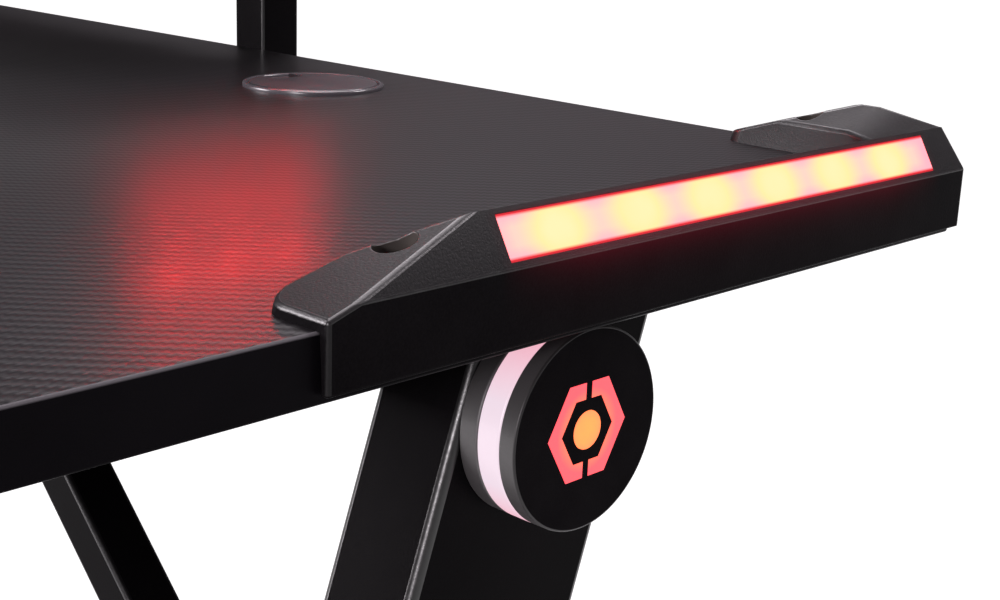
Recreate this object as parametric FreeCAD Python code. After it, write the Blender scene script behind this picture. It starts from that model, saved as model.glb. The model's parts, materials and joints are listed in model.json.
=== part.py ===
# Gaming desk: embossed board on Z-shaped steel side frames, with lit corner covers,
# round leg lamps, cable grommets and a raised shelf on posts behind the back edge.
# Millimetres. +X is the sitter's right, +Y the back, +Z up. The origin is on the floor
# under the middle of the desk's box.
import FreeCAD, Part
import math
import os

# Desktop
desk_width = 1400.0
desk_depth = 600.0
desk_height = 750.0
top_thick = 18.0
band_thick = 1.0
front_corner_radius = 40.0
corner_cut_side = 28.0
corner_cut_back = 44.0

# Steel tubes of the side frames
tube_wall = 1.5
leg_inset = 31.0
leg_thick = 36.0
leg_width = 76.0
leg_lean = 18.7
leg_top_back = 194.0
arm_width = 40.0
arm_height = 30.0
arm_front = 30.0
beam_depth = 40.0
beam_height = 30.0
rail_depth = 30.0
rail_height = 26.0
foot_width = 40.0
foot_height = 30.0
foot_overhang = 12.0
foot_back = 35.0
brace_size = 19.0
brace_drop = 247.0
brace_reach = 213.0
brace_back = 8.8

# Plastic plugs in the open tube ends
cap_thick = 3.0
plug_length = 10.0
plug_wall = 2.0
plug_gap = 0.1

# Raised shelf
post_size = 25.0
post_from_side = 453.0
shelf_lift = 92.5
shelf_overhang = 83.0
shelf_depth = 200.0
shelf_thick = 15.0
shelf_radius = 20.0
shelf_arm_length = 170.0
shelf_light_length = 136.0
shelf_light_height = 9.0
shelf_light_depth = 5.0
shelf_light_proud = 0.4
shelf_light_gap = 0.1

# Lit corner covers: u runs outwards from the desk's edge, z up from its top
cover_gap = 0.3
cover_wall = 3.0
cover_drop = 15.5
crease_height = 5.7
ridge_inset = 5.0
ridge_height = 20.3
cover_inset = 20.0
inner_height = 10.9
cover_base_inset = 23.5
cover_face_wall = 2.6
cover_top_wall = 2.2
side_reach = 322.0
back_reach = 106.0
ramp_tip_height = 3.2
ramp_slope = 0.324
tip_round = 9.0
cavity_start = 20.0
well_along = 34.0
well_inset = 12.0
well_radius = 5.75
well_floor = 2.5
well_wall = 1.6

# Lit strip in the side arm of each cover
window_back = 47.0
window_front = 61.0
window_margin_low = 1.8
window_margin_high = 1.7
diffuser_gap = 0.1
diffuser_recess = 0.2
diffuser_tab_length = 4.0
diffuser_tab_thick = 1.0
diffuser_tab_margin = 0.6
strip_width = 8.0
strip_thick = 1.0
strip_depth = 3.0
strip_end = 4.0
strip_rise = 3.0
rib_thick = 2.0
rib_from_end = 20.0
chip_count = 6
chip_from_end = 23.75
chip_size = 5.0
chip_thick = 1.4

# Round leg lamps
lamp_radius = 31.0
lamp_wall = 4.0
lamp_base_length = 7.2
lamp_ring_length = 8.5
lamp_front_length = 6.1
lamp_floor = 2.5
lamp_face_thick = 2.0
lamp_below_top = 52.5
lamp_forward = 8.0
lens_radius = 24.0
lens_thick = 1.5
lamp_board_thick = 1.6
motif_radius = 17.0
motif_band = 6.0
motif_bridge = 2.4
motif_dot_radius = 6.0
motif_gap = 0.1

# Cable grommets
grommet_from_side = 314.0
grommet_from_back = 67.0
grommet_radius = 33.5
grommet_hole_radius = 30.0
grommet_gap = 0.15
grommet_wall = 2.0
grommet_rim = 2.0
grommet_length = 19.0
grommet_seat_depth = 1.5
cap_gap = 0.3
cap_lip = 3.0
cap_skirt_length = 8.0
slot_width = 16.0
slot_depth = 12.0

# Control box under the right side of the top
box_from_side = 140.0
box_from_front = 60.0
box_width = 90.0
box_depth = 55.0
box_height = 26.0
box_wall = 2.0
button_radius = 6.0
button_gap = 0.3
button_proud = 2.0
button_flange = 2.0
button_flange_thick = 1.5
socket_radius = 5.5
socket_bore_radius = 2.75
socket_bore_length = 9.0
socket_length = 12.0
ear_length = 12.0
ear_thick = 3.0

# Levelling feet
pad_radius = 20.0
pad_height = 8.0
pocket_depth = 5.0
stud_radius = 4.0
fit_gap = 0.05
seat_gap = 0.1
hex_flats = 13.0
hex_height = 6.0
stop_gap = 0.3
nut_radius = 9.0
nut_height = 10.0
leveller_inset = 40.0
stud_hole_gap = 0.5

# Screws and bolts
screw_gap = 0.05
wood_bite = 12.0
wood_screw_radius = 2.0
wood_head_radius = 4.0
wood_head_height = 2.4
bolt_radius = 3.0
bolt_head_radius = 5.0
bolt_head_height = 4.0
bolt_reach = 8.0
leg_bolt_spread = 20.0
post_bolt_spread = 6.5
desk_screw_margin = 60.0
shelf_screw_margin = 25.0
lamp_screw_radius = 1.5
lamp_screw_head_radius = 3.0
lamp_screw_head_height = 0.8
lamp_screw_pitch = 15.0
lamp_screw_bite = 5.0

# Places that follow from the sizes above
overall_depth = desk_depth + post_size
front_y = -overall_depth / 2
back_y = front_y + desk_depth
side_x = desk_width / 2
under_z = desk_height - top_thick
lean = math.tan(math.radians(leg_lean))
leg_half = leg_width / 2 / math.cos(math.radians(leg_lean))
leg_outer_x = side_x - leg_inset
leg_inner_x = leg_outer_x - leg_thick
leg_mid_x = leg_inner_x + leg_thick / 2
foot_z = pad_height + seat_gap + hex_height + stop_gap
foot_top_z = foot_z + foot_height
brace_z = desk_height - brace_drop
arm_inner_x = leg_inner_x - arm_width
arm_mid_x = leg_inner_x - arm_width / 2
post_x = side_x - post_from_side
shelf_half = post_x + shelf_overhang
shelf_z = desk_height + shelf_lift

X_AXIS = FreeCAD.Vector(1, 0, 0)
Y_AXIS = FreeCAD.Vector(0, 1, 0)
Z_AXIS = FreeCAD.Vector(0, 0, 1)


def leg_y(z):
    """Middle of the leg, front to back, at a height."""
    return back_y - leg_top_back - (under_z - z) * lean


def block(x0, x1, y0, y1, z0, z1):
    """Box between two corners."""
    return Part.makeBox(x1 - x0, y1 - y0, z1 - z0, FreeCAD.Vector(x0, y0, z0))


def rod(base, axis, radius, length):
    """Cylinder from a point along an axis."""
    return Part.makeCylinder(radius, length, base, axis)


def prism(points, along):
    """Closed outline pushed along a vector."""
    wire = Part.makePolygon(points + points[:1])
    return Part.Face(wire).extrude(along)


def joined(shapes):
    """One solid from several that touch."""
    first = shapes[0]
    return first.fuse(shapes[1:]).removeSplitter()


def mirrored(shape):
    """The same piece for the other side of the desk."""
    return shape.mirror(FreeCAD.Vector(0, 0, 0), X_AXIS)


def save(name, shapes):
    """Write one node; several shapes become a group of separate solids."""
    shape = shapes if isinstance(shapes, Part.Shape) else Part.makeCompound(shapes)
    shape.exportStep("parts/" + name + ".step")


def save_pair(name, shape):
    """Write a right-hand piece and its mirrored left-hand twin."""
    save(name + "_right", shape)
    save(name + "_left", mirrored(shape))


def screw(base, axis, radius, length, head_radius, head_height):
    """Screw whose head seats at base and whose shank runs along the axis."""
    shank = rod(base, axis, radius, length)
    head = rod(base, axis * -1, head_radius, head_height)
    return joined([head, shank])


def drilled(shape, base, axis, radius, length):
    """Shape with a round hole that clears a screw of that radius."""
    return shape.cut(rod(base, axis, radius + screw_gap, length))


def tube_x(x0, x1, y0, y1, z0, z1):
    """Rectangular tube along X, open at both ends."""
    wall = tube_wall
    return block(x0, x1, y0, y1, z0, z1).cut(block(x0, x1, y0 + wall, y1 - wall, z0 + wall, z1 - wall))


def tube_y(x0, x1, y0, y1, z0, z1):
    """Rectangular tube along Y, open at both ends."""
    wall = tube_wall
    return block(x0, x1, y0, y1, z0, z1).cut(block(x0 + wall, x1 - wall, y0, y1, z0 + wall, z1 - wall))


def tube_cap(centre, axis, across, width, height):
    """Plug for a tube's end: a plate outside and a hollow plug inside.

    axis points out of the tube, across lies along the tube's width."""
    up = axis.cross(across)
    origin = centre - across * (width / 2) - up * (height / 2)

    def slab(margin, start, length):
        corner = origin + (across + up) * margin + axis * start
        across_edge = across * (width - 2 * margin)
        up_edge = up * (height - 2 * margin)
        points = [corner, corner + across_edge, corner + across_edge + up_edge, corner + up_edge]
        return prism(points, axis * length)

    plate = slab(0, 0, cap_thick)
    plug_margin = tube_wall + plug_gap
    plug = slab(plug_margin, -plug_length, plug_length)
    hollow = slab(plug_margin + plug_wall, -plug_length, plug_length)
    return joined([plate, plug.cut(hollow)])


def rounded_slab(x0, x1, y0, y1, z0, z1, radius):
    """Board with round vertical corners."""
    slab = block(x0, x1, y0, y1, z0, z1)
    upright = [edge for edge in slab.Edges if abs(edge.tangentAt(edge.FirstParameter).z) > 0.9]
    return slab.makeFillet(radius, upright)


# Corner cover section, in (u, z)
wall_inner_u = cover_gap
wall_outer_u = cover_gap + cover_wall
crease = (wall_outer_u, crease_height)
ridge = (-ridge_inset, ridge_height)
shoulder = (-cover_inset, inner_height)
inner_base = (-cover_base_inset, 0)


def inset_line(start, end, distance):
    """Line moved to its left-hand side when walked from start to end."""
    length = math.hypot(end[0] - start[0], end[1] - start[1])
    along = ((end[0] - start[0]) / length, (end[1] - start[1]) / length)
    return (start[0] - along[1] * distance, start[1] + along[0] * distance), along


def meeting(line_a, line_b):
    """Point where two lines cross."""
    (ax, ay), (adx, ady) = line_a
    (bx, by), (bdx, bdy) = line_b
    step = ((bx - ax) * bdy - (by - ay) * bdx) / (adx * bdy - ady * bdx)
    return ax + adx * step, ay + ady * step


def cavity_section():
    """Inside of the cover's section, open downwards to the desk's top."""
    face_line = inset_line(crease, ridge, cover_face_wall)
    roof_line = inset_line(ridge, shoulder, cover_top_wall)
    outer_line = ((wall_inner_u, 0), (0, 1))
    inner_line = inset_line(shoulder, inner_base, cover_top_wall)
    base_line = ((0, 0), (1, 0))
    low = meeting(face_line, outer_line)
    top = meeting(face_line, roof_line)
    back = meeting(roof_line, inner_line)
    base = meeting(inner_line, base_line)
    return [(wall_inner_u, 0), low, top, back, base]


cover_section = [
    (wall_outer_u, -cover_drop), crease, ridge, shoulder,
    inner_base, (wall_inner_u, 0), (wall_inner_u, -cover_drop),
]


def edge_path(u, side_start, back_start):
    """Four points along the right side edge, the cut corner and the back edge, u outside the edge.

    side_start and back_start are the distances of the two ends from the back and side edges."""
    cut_length = math.hypot(corner_cut_side, corner_cut_back)
    out_x = corner_cut_side / cut_length
    out_y = corner_cut_back / cut_length
    side_step = u / (1 + out_x)
    back_step = u / (1 + out_y)
    return [
        (side_x + u, back_y - side_start),
        (side_x + (1 + out_x) * side_step, back_y - corner_cut_side + out_y * side_step),
        (side_x - corner_cut_back + out_x * back_step, back_y + (1 + out_y) * back_step),
        (side_x - back_start, back_y + u),
    ]


def flat_face(points):
    """Flat face inside a closed outline."""
    return Part.Face(Part.makePolygon(points + points[:1]))


def swept_over_corner(section, side_start, back_start):
    """Section carried along the side edge, across the cut corner and along the back edge."""
    rings = [[], [], [], []]
    for u, z in section:
        for ring, (x, y) in zip(rings, edge_path(u, side_start, back_start)):
            ring.append(FreeCAD.Vector(x, y, desk_height + z))
    faces = [flat_face(rings[0]), flat_face(rings[-1])]
    for near, far in zip(rings, rings[1:]):
        for index in range(len(section)):
            faces.append(flat_face([near[index - 1], near[index], far[index], far[index - 1]]))
    solid = Part.Solid(Part.Shell(faces))
    if solid.Volume < 0:
        solid.reverse()
    return solid


def above_ramps(lift):
    """Everything over the two end ramps, with the ramps moved up by lift."""
    reach = side_reach
    rise = ramp_tip_height + lift
    far_rise = rise + reach * ramp_slope
    high = far_rise + reach
    near_rise = rise - reach * ramp_slope
    outline = [(0, rise), (reach, far_rise), (reach, high), (-reach, high), (-reach, near_rise)]
    side_tip = FreeCAD.Vector(side_x - 2 * cover_inset, back_y - side_reach, desk_height)
    back_tip = FreeCAD.Vector(side_x - back_reach, back_y - 2 * cover_inset, desk_height)
    side_points = [side_tip + Y_AXIS * along + Z_AXIS * z for along, z in outline]
    back_points = [back_tip + X_AXIS * along + Z_AXIS * z for along, z in outline]
    side_cut = prism(side_points, X_AXIS * (4 * cover_inset))
    back_cut = prism(back_points, Y_AXIS * (4 * cover_inset))
    return side_cut, back_cut


def tip_edges(body):
    """Leaning edges of the cover's body at the inner corners of its two tips."""
    side_middle = FreeCAD.Vector(side_x - (cover_inset + cover_base_inset) / 2, back_y - side_reach,
                                 desk_height + inner_height / 2)
    back_middle = FreeCAD.Vector(side_x - back_reach, back_y - (cover_inset + cover_base_inset) / 2,
                                 desk_height + inner_height / 2)
    edges = []
    for edge in body.Edges:
        middle = edge.CenterOfMass
        if min(middle.distanceToPoint(side_middle), middle.distanceToPoint(back_middle)) < fit_gap:
            edges.append(edge)
    return edges


face_length = math.hypot(ridge[0] - crease[0], ridge[1] - crease[1])
face_up = ((ridge[0] - crease[0]) / face_length, (ridge[1] - crease[1]) / face_length)
window_end_y = back_y - window_back
window_start_y = back_y - side_reach + window_front
window_low = window_margin_low
window_high = face_length - window_margin_high


def face_slab(low, high, outside, inside, y0, y1):
    """Slab parallel to the sloping lit face: heights up the face, depths into it."""
    points = []
    for rise, depth in ((low, outside), (high, outside), (high, inside), (low, inside)):
        u = crease[0] + face_up[0] * rise - face_up[1] * depth
        z = crease[1] + face_up[1] * rise + face_up[0] * depth
        points.append(FreeCAD.Vector(side_x + u, y0, desk_height + z))
    return prism(points, Y_AXIS * (y1 - y0))


def well_places():
    """Axis points of the two screw wells, on the desk's top."""
    side_well = FreeCAD.Vector(side_x - well_inset, back_y - side_reach + well_along, desk_height)
    back_well = FreeCAD.Vector(side_x - back_reach + well_along, back_y - well_inset, desk_height)
    return [side_well, back_well]


strip_front = cover_face_wall + strip_depth
strip_back = strip_front + strip_thick


def corner_cover():
    """Moulded shell round the desk's back corner, with ribs behind the light strip."""
    side_cut, back_cut = above_ramps(0)
    body = swept_over_corner(cover_section, side_reach, back_reach)
    outside = body.makeFillet(tip_round, tip_edges(body)).cut([side_cut, back_cut])
    roof_drop = cover_top_wall * math.hypot(1, ramp_slope)
    low_side_cut, low_back_cut = above_ramps(-roof_drop)
    inner_ends = side_reach - cavity_start, back_reach - cavity_start
    cavity = swept_over_corner(cavity_section(), *inner_ends).cut([low_side_cut, low_back_cut])
    bosses = []
    for place in well_places():
        boss = rod(place, Z_AXIS, well_radius + well_wall, ridge_height)
        bosses.append(boss.common(outside))
    shell = outside.cut(cavity)
    ribs = []
    middle = (window_start_y + window_end_y) / 2
    for y in (window_start_y + rib_from_end, middle, window_end_y - rib_from_end):
        slab = face_slab(-face_length, 2 * face_length, strip_back, strip_back + 2 * cover_inset,
                         y - rib_thick / 2, y + rib_thick / 2)
        ribs.append(cavity.common(slab))
    shell = joined([shell] + bosses + ribs)
    for place in well_places():
        shell = shell.cut(rod(place + Z_AXIS * well_floor, Z_AXIS, well_radius, ridge_height))
        shell = drilled(shell, place, Z_AXIS, wood_screw_radius, well_floor)
    window = face_slab(window_low, window_high, -cover_wall, cover_face_wall, window_start_y, window_end_y)
    return shell.cut(window)


def light_diffuser():
    """Milky strip set into the window of the cover, with a tab behind each end of it."""
    gap = diffuser_gap
    pane = face_slab(window_low + gap, window_high - gap, diffuser_recess, cover_face_wall,
                     window_start_y + gap, window_end_y - gap)
    tab_high = face_length - cover_top_wall - diffuser_tab_margin
    backing = face_slab(window_low + diffuser_tab_margin, tab_high, cover_face_wall,
                        cover_face_wall + diffuser_tab_thick, window_start_y - diffuser_tab_length,
                        window_end_y + diffuser_tab_length)
    return joined([pane, backing])


def led_strip():
    """Circuit strip lying on the cover's ribs."""
    return face_slab(strip_rise, strip_rise + strip_width, strip_front, strip_back,
                     window_start_y + strip_end, window_end_y - strip_end)


def led_chips():
    """Light points in a row on the strip."""
    chips = []
    first_y = window_start_y + chip_from_end
    last_y = window_end_y - chip_from_end
    low = strip_rise + (strip_width - chip_size) / 2
    for index in range(chip_count):
        y = first_y + (last_y - first_y) * index / (chip_count - 1)
        chips.append(face_slab(low, low + chip_size, strip_front - chip_thick, strip_front,
                               y - chip_size / 2, y + chip_size / 2))
    return chips


def cover_screws():
    """Screws in the wells of both covers."""
    screws = []
    for place in well_places():
        one = screw(place + Z_AXIS * well_floor, Z_AXIS * -1, wood_screw_radius, well_floor + wood_bite,
                    wood_head_radius, wood_head_height)
        screws.append(one)
        screws.append(mirrored(one))
    return screws


def desk_screw_places():
    """Undersides of the top arms where screws run up into the board."""
    y0 = front_y + arm_front + desk_screw_margin
    y1 = back_y - rail_depth - desk_screw_margin
    return [FreeCAD.Vector(sign * arm_mid_x, y, under_z - arm_height) for sign in (-1, 1) for y in (y0, y1)]


box_x1 = side_x - box_from_side
box_x0 = box_x1 - box_width
box_y0 = front_y + box_from_front
box_y1 = box_y0 + box_depth
box_z = under_z - box_height
box_mid_x = (box_x0 + box_x1) / 2
box_mid_z = box_z + (box_height - ear_thick) / 2


def box_screw_places():
    """Undersides of the control box's two ears."""
    y = (box_y0 + box_y1) / 2
    xs = (box_x0 - ear_length / 2, box_x1 + ear_length / 2)
    return [FreeCAD.Vector(x, y, under_z - ear_thick) for x in xs]


def grommet_places():
    """Centres of the two cable holes, on the desk's top."""
    x = side_x - grommet_from_side
    y = back_y - grommet_from_back
    return {"right": FreeCAD.Vector(x, y, desk_height), "left": FreeCAD.Vector(-x, y, desk_height)}


def desk_slab(inset):
    """The top's outline, moved in by inset: cut corners at the back, round ones in front."""
    right = edge_path(-inset, desk_depth - inset, side_x)[:3]
    outline = right + [(-x, y) for x, y in reversed(right)]
    slab = prism([FreeCAD.Vector(x, y, under_z) for x, y in outline], Z_AXIS * top_thick)
    corners = []
    for edge in slab.Edges:
        upright = abs(edge.tangentAt(edge.FirstParameter).z) > 0.9
        if upright and edge.CenterOfMass.y < 0:
            corners.append(edge)
    return slab.makeFillet(front_corner_radius - inset, corners)


def desktop():
    """Board and its edge band."""
    board = desk_slab(band_thick)
    edge_band = desk_slab(0).cut(board)
    for place in grommet_places().values():
        board = board.cut(rod(place - Z_AXIS * top_thick, Z_AXIS, grommet_hole_radius, top_thick))
    for place in well_places():
        pilot = rod(place - Z_AXIS * wood_bite, Z_AXIS, wood_screw_radius + screw_gap, wood_bite)
        board = board.cut([pilot, mirrored(pilot)])
    for place in desk_screw_places() + box_screw_places():
        start = FreeCAD.Vector(place.x, place.y, under_z)
        board = drilled(board, start, Z_AXIS, wood_screw_radius, wood_bite)
    return board, edge_band


def leg_bolt_places():
    """Inner faces of the right top arm where bolts run out into the leg."""
    z = under_z - arm_height / 2
    middle = leg_y(z)
    return [FreeCAD.Vector(arm_inner_x, middle + side * leg_bolt_spread, z) for side in (-1, 1)]


def lamp_centre():
    """Middle of the right lamp on the leg's outer face."""
    z = desk_height - lamp_below_top
    return FreeCAD.Vector(leg_outer_x, leg_y(z) - lamp_forward, z)


def lamp_screw_places():
    """Places of the two lamp screws on the leg's outer face."""
    return [lamp_centre() + Y_AXIS * (side * lamp_screw_pitch / 2) for side in (-1, 1)]


def leaning_bar(half, x0, x1):
    """Bar that leans like the leg, cut level at both ends."""
    points = []
    for y, z in ((-half, foot_top_z), (half, foot_top_z), (half, under_z), (-half, under_z)):
        points.append(FreeCAD.Vector(x0, leg_y(z) + y, z))
    return prism(points, X_AXIS * (x1 - x0))


def leg():
    """Leaning rectangular tube of the side frame."""
    inner_half = leg_half - tube_wall / math.cos(math.radians(leg_lean))
    tube = leaning_bar(leg_half, leg_inner_x, leg_outer_x)
    tube = tube.cut(leaning_bar(inner_half, leg_inner_x + tube_wall, leg_outer_x - tube_wall))
    for place in leg_bolt_places():
        tube = drilled(tube, FreeCAD.Vector(leg_inner_x, place.y, place.z), X_AXIS, bolt_radius, tube_wall)
    for place in lamp_screw_places():
        tube = drilled(tube, place, X_AXIS * -1, lamp_screw_radius, tube_wall)
    return tube


def top_arm():
    """Tube under the top, front to back, beside the leg."""
    arm_y0 = front_y + arm_front
    tube = tube_y(arm_inner_x, leg_inner_x, arm_y0, back_y - rail_depth, under_z - arm_height, under_z)
    for place in leg_bolt_places():
        tube = drilled(tube, place, X_AXIS, bolt_radius, arm_width)
    for place in desk_screw_places():
        tube = drilled(tube, place, Z_AXIS, wood_screw_radius, arm_height)
    return tube


foot_y0 = leg_y(foot_top_z) - leg_half - foot_overhang
foot_y1 = back_y - foot_back
foot_x0 = leg_mid_x - foot_width / 2
foot_x1 = leg_mid_x + foot_width / 2


def leveller_places():
    """Floor points under the four levelling feet."""
    places = {}
    for side, sign in (("right", 1), ("left", -1)):
        places["front_" + side] = FreeCAD.Vector(sign * leg_mid_x, foot_y0 + leveller_inset, 0)
        places["back_" + side] = FreeCAD.Vector(sign * leg_mid_x, foot_y1 - leveller_inset, 0)
    return places


def foot_bar():
    """Tube along the floor under the leg."""
    tube = tube_y(foot_x0, foot_x1, foot_y0, foot_y1, foot_z, foot_top_z)
    for place in leveller_places().values():
        hole = rod(place + Z_AXIS * foot_z, Z_AXIS, stud_radius + stud_hole_gap, tube_wall)
        tube = tube.cut(hole)
    return tube


def knee_brace():
    """Square tube from the leg's inner face up to the main beam."""
    beam_z = under_z - beam_height
    top_x = leg_inner_x - brace_reach
    angle = math.atan2(beam_z - brace_z, brace_reach)
    middle_y = leg_y(brace_z) + brace_back

    def bar(size):
        low = size / 2 / math.cos(angle)
        high = size / 2 / math.sin(angle)
        outline = [(leg_inner_x, brace_z - low), (leg_inner_x, brace_z + low), (top_x + high, beam_z),
                   (top_x - high, beam_z)]
        points = [FreeCAD.Vector(x, middle_y - size / 2, z) for x, z in outline]
        return prism(points, Y_AXIS * size)

    return bar(brace_size).cut(bar(brace_size - 2 * tube_wall))


def main_beam():
    """Tube across the desk that carries both knee braces."""
    y0 = leg_y(brace_z) + brace_back - beam_depth / 2
    return tube_x(-arm_inner_x, arm_inner_x, y0, y0 + beam_depth, under_z - beam_height, under_z)


def post_bolt_places():
    """Front face of the rear rail where bolts run back into the posts."""
    z = under_z - rail_height / 2
    xs = [sign * post_x + side * post_bolt_spread for sign in (-1, 1) for side in (-1, 1)]
    return [FreeCAD.Vector(x, back_y - rail_depth, z) for x in xs]


def rear_rail():
    """Tube across the back that ties the arms and carries the posts."""
    rail = tube_x(-leg_inner_x, leg_inner_x, back_y - rail_depth, back_y, under_z - rail_height, under_z)
    for place in post_bolt_places():
        rail = drilled(rail, place, Y_AXIS, bolt_radius, rail_depth)
    return rail


def shelf_post():
    """Upright square tube behind the back edge."""
    x0 = post_x - post_size / 2
    x1 = post_x + post_size / 2
    wall = tube_wall
    foot = under_z - rail_height
    post = block(x0, x1, back_y, back_y + post_size, foot, shelf_z)
    bore = block(x0 + wall, x1 - wall, back_y + wall, back_y + post_size - wall, foot, shelf_z)
    post = post.cut(bore)
    for place in post_bolt_places():
        post = drilled(post, FreeCAD.Vector(place.x, back_y, place.z), Y_AXIS, bolt_radius, wall)
    return post


def shelf_screw_places():
    """Undersides of the shelf arms where screws run up into the shelf."""
    ys = (back_y - shelf_arm_length + shelf_screw_margin, back_y - shelf_screw_margin)
    return [FreeCAD.Vector(sign * post_x, y, shelf_z - post_size) for sign in (-1, 1) for y in ys]


def shelf_arm():
    """Square tube reaching forwards from the post's head."""
    arm = tube_y(post_x - post_size / 2, post_x + post_size / 2, back_y - shelf_arm_length, back_y,
                 shelf_z - post_size, shelf_z)
    for place in shelf_screw_places():
        arm = drilled(arm, place, Z_AXIS, wood_screw_radius, post_size)
    return arm


def shelf_light(gap, depth):
    """Bar in the middle of the shelf's right end, let in by shelf_light_depth; gap shrinks it."""
    middle_y = back_y + post_size - shelf_depth / 2
    middle_z = shelf_z + shelf_thick / 2
    half_length = shelf_light_length / 2 - gap
    half_height = shelf_light_height / 2 - gap
    x0 = shelf_half - shelf_light_depth
    return block(x0, x0 + depth, middle_y - half_length, middle_y + half_length,
                 middle_z - half_height, middle_z + half_height)


def shelf_board():
    """Raised shelf with a groove for a light in each end."""
    shelf_back = back_y + post_size
    groove = shelf_light(0, shelf_light_depth)
    board = rounded_slab(-shelf_half, shelf_half, shelf_back - shelf_depth, shelf_back, shelf_z,
                         shelf_z + shelf_thick, shelf_radius)
    for place in shelf_screw_places():
        start = FreeCAD.Vector(place.x, place.y, shelf_z)
        board = drilled(board, start, Z_AXIS, wood_screw_radius, wood_bite)
    return board.cut([groove, mirrored(groove)])


def shelf_lights():
    """Milky light bars in the shelf's ends."""
    bar = shelf_light(shelf_light_gap, shelf_light_depth + shelf_light_proud)
    return [bar, mirrored(bar)]


def lamp_disc(start, length, radius):
    """Round slice of the right lamp, measured out from the leg."""
    return rod(lamp_centre() + X_AXIS * start, X_AXIS, radius, length)


lamp_bore = lamp_radius - lamp_wall
lamp_ring_start = lamp_base_length
lamp_front_start = lamp_ring_start + lamp_ring_length
lamp_face_start = lamp_front_start + lamp_front_length - lamp_face_thick


def motif(start, length, gap):
    """Six-sided band, parted by two bridges, with a dot in it; gap shrinks it for an easy fit."""
    centre = lamp_centre() + X_AXIS * start

    def six_sided(radius):
        points = []
        for index in range(6):
            angle = math.radians(60 * index)
            points.append(centre + FreeCAD.Vector(0, math.cos(angle), math.sin(angle)) * radius)
        return prism(points, X_AXIS * length)

    half_bridge = motif_bridge / 2 + gap
    bridge = block(centre.x, centre.x + length, centre.y - half_bridge, centre.y + half_bridge,
                   centre.z - motif_radius, centre.z + motif_radius)
    band = six_sided(motif_radius - gap).cut(six_sided(motif_radius - motif_band + gap)).cut(bridge)
    return band.Solids + [lamp_disc(start, length, motif_dot_radius - gap)]


def lamp_base():
    """Cup screwed to the leg."""
    cup = lamp_disc(0, lamp_base_length, lamp_radius)
    cup = cup.cut(lamp_disc(lamp_floor, lamp_base_length, lamp_bore))
    for place in lamp_screw_places():
        cup = drilled(cup, place, X_AXIS, lamp_screw_radius, lamp_floor)
    return cup


def lamp_ring():
    """Milky ring that lights the lamp's rim."""
    return lamp_disc(lamp_ring_start, lamp_ring_length, lamp_radius).cut(
        lamp_disc(lamp_ring_start, lamp_ring_length, lamp_bore))


def lamp_front():
    """Front cap with the motif cut through its face."""
    cap = lamp_disc(lamp_front_start, lamp_front_length, lamp_radius)
    cap = cap.cut(lamp_disc(lamp_front_start, lamp_front_length - lamp_face_thick, lamp_bore))
    return cap.cut(motif(lamp_face_start, lamp_face_thick, 0))


def lamp_lens():
    """Lens behind the face, with the motif standing up into its cut-outs."""
    disc = lamp_disc(lamp_face_start - lens_thick, lens_thick, lens_radius)
    return joined([disc] + motif(lamp_face_start, lamp_face_thick, motif_gap))


def lamp_board():
    """Round circuit board held by the lamp screws' heads."""
    board = lamp_disc(lamp_floor + lamp_screw_head_height, lamp_board_thick, lamp_bore - cap_gap)
    return board


def lamp_screws():
    """Flat screws that hold the lamps to the legs."""
    screws = []
    for place in lamp_screw_places():
        one = screw(place + X_AXIS * lamp_floor, X_AXIS * -1, lamp_screw_radius, lamp_floor + lamp_screw_bite,
                    lamp_screw_head_radius, lamp_screw_head_height)
        screws.append(one)
        screws.append(mirrored(one))
    return screws


liner_radius = grommet_hole_radius - grommet_gap
liner_bore = liner_radius - grommet_wall
seat_radius = liner_bore + cap_lip


def grommet_liner(place):
    """Sleeve in the cable hole, with a rim on the desk and a seat for its cap."""
    sleeve = rod(place + Z_AXIS * (grommet_rim - grommet_length), Z_AXIS, liner_radius, grommet_length)
    rim = rod(place, Z_AXIS, grommet_radius, grommet_rim)
    bore = rod(place + Z_AXIS * (grommet_rim - grommet_length), Z_AXIS, liner_bore, grommet_length)
    seat = rod(place + Z_AXIS * (grommet_rim - grommet_seat_depth), Z_AXIS, seat_radius, grommet_seat_depth)
    return joined([sleeve, rim]).cut([bore, seat])


def grommet_cap(place):
    """Turning cap with a cable slot at its edge, towards the middle of the desk."""
    plate_z = place + Z_AXIS * (grommet_rim - grommet_seat_depth + seat_gap)
    plate = rod(plate_z, Z_AXIS, seat_radius - cap_gap, grommet_seat_depth - seat_gap)
    skirt_radius = liner_bore - cap_gap
    skirt_z = plate_z - Z_AXIS * cap_skirt_length
    skirt = rod(skirt_z, Z_AXIS, skirt_radius, cap_skirt_length)
    skirt = skirt.cut(rod(skirt_z, Z_AXIS, skirt_radius - grommet_wall, cap_skirt_length))
    half = slot_width / 2
    inwards = -1 if place.x > 0 else 1
    root_x = place.x + inwards * (seat_radius - slot_depth)
    mouth_x = place.x + inwards * grommet_radius
    slot = block(min(root_x, mouth_x), max(root_x, mouth_x), place.y - half, place.y + half,
                 skirt_z.z, desk_height + grommet_rim)
    return joined([plate, skirt]).cut(slot)


def socket_mouth():
    """Middle of the power socket's mouth in the box's bottom."""
    return FreeCAD.Vector(box_mid_x, (box_y0 + box_y1) / 2, box_z)


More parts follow.
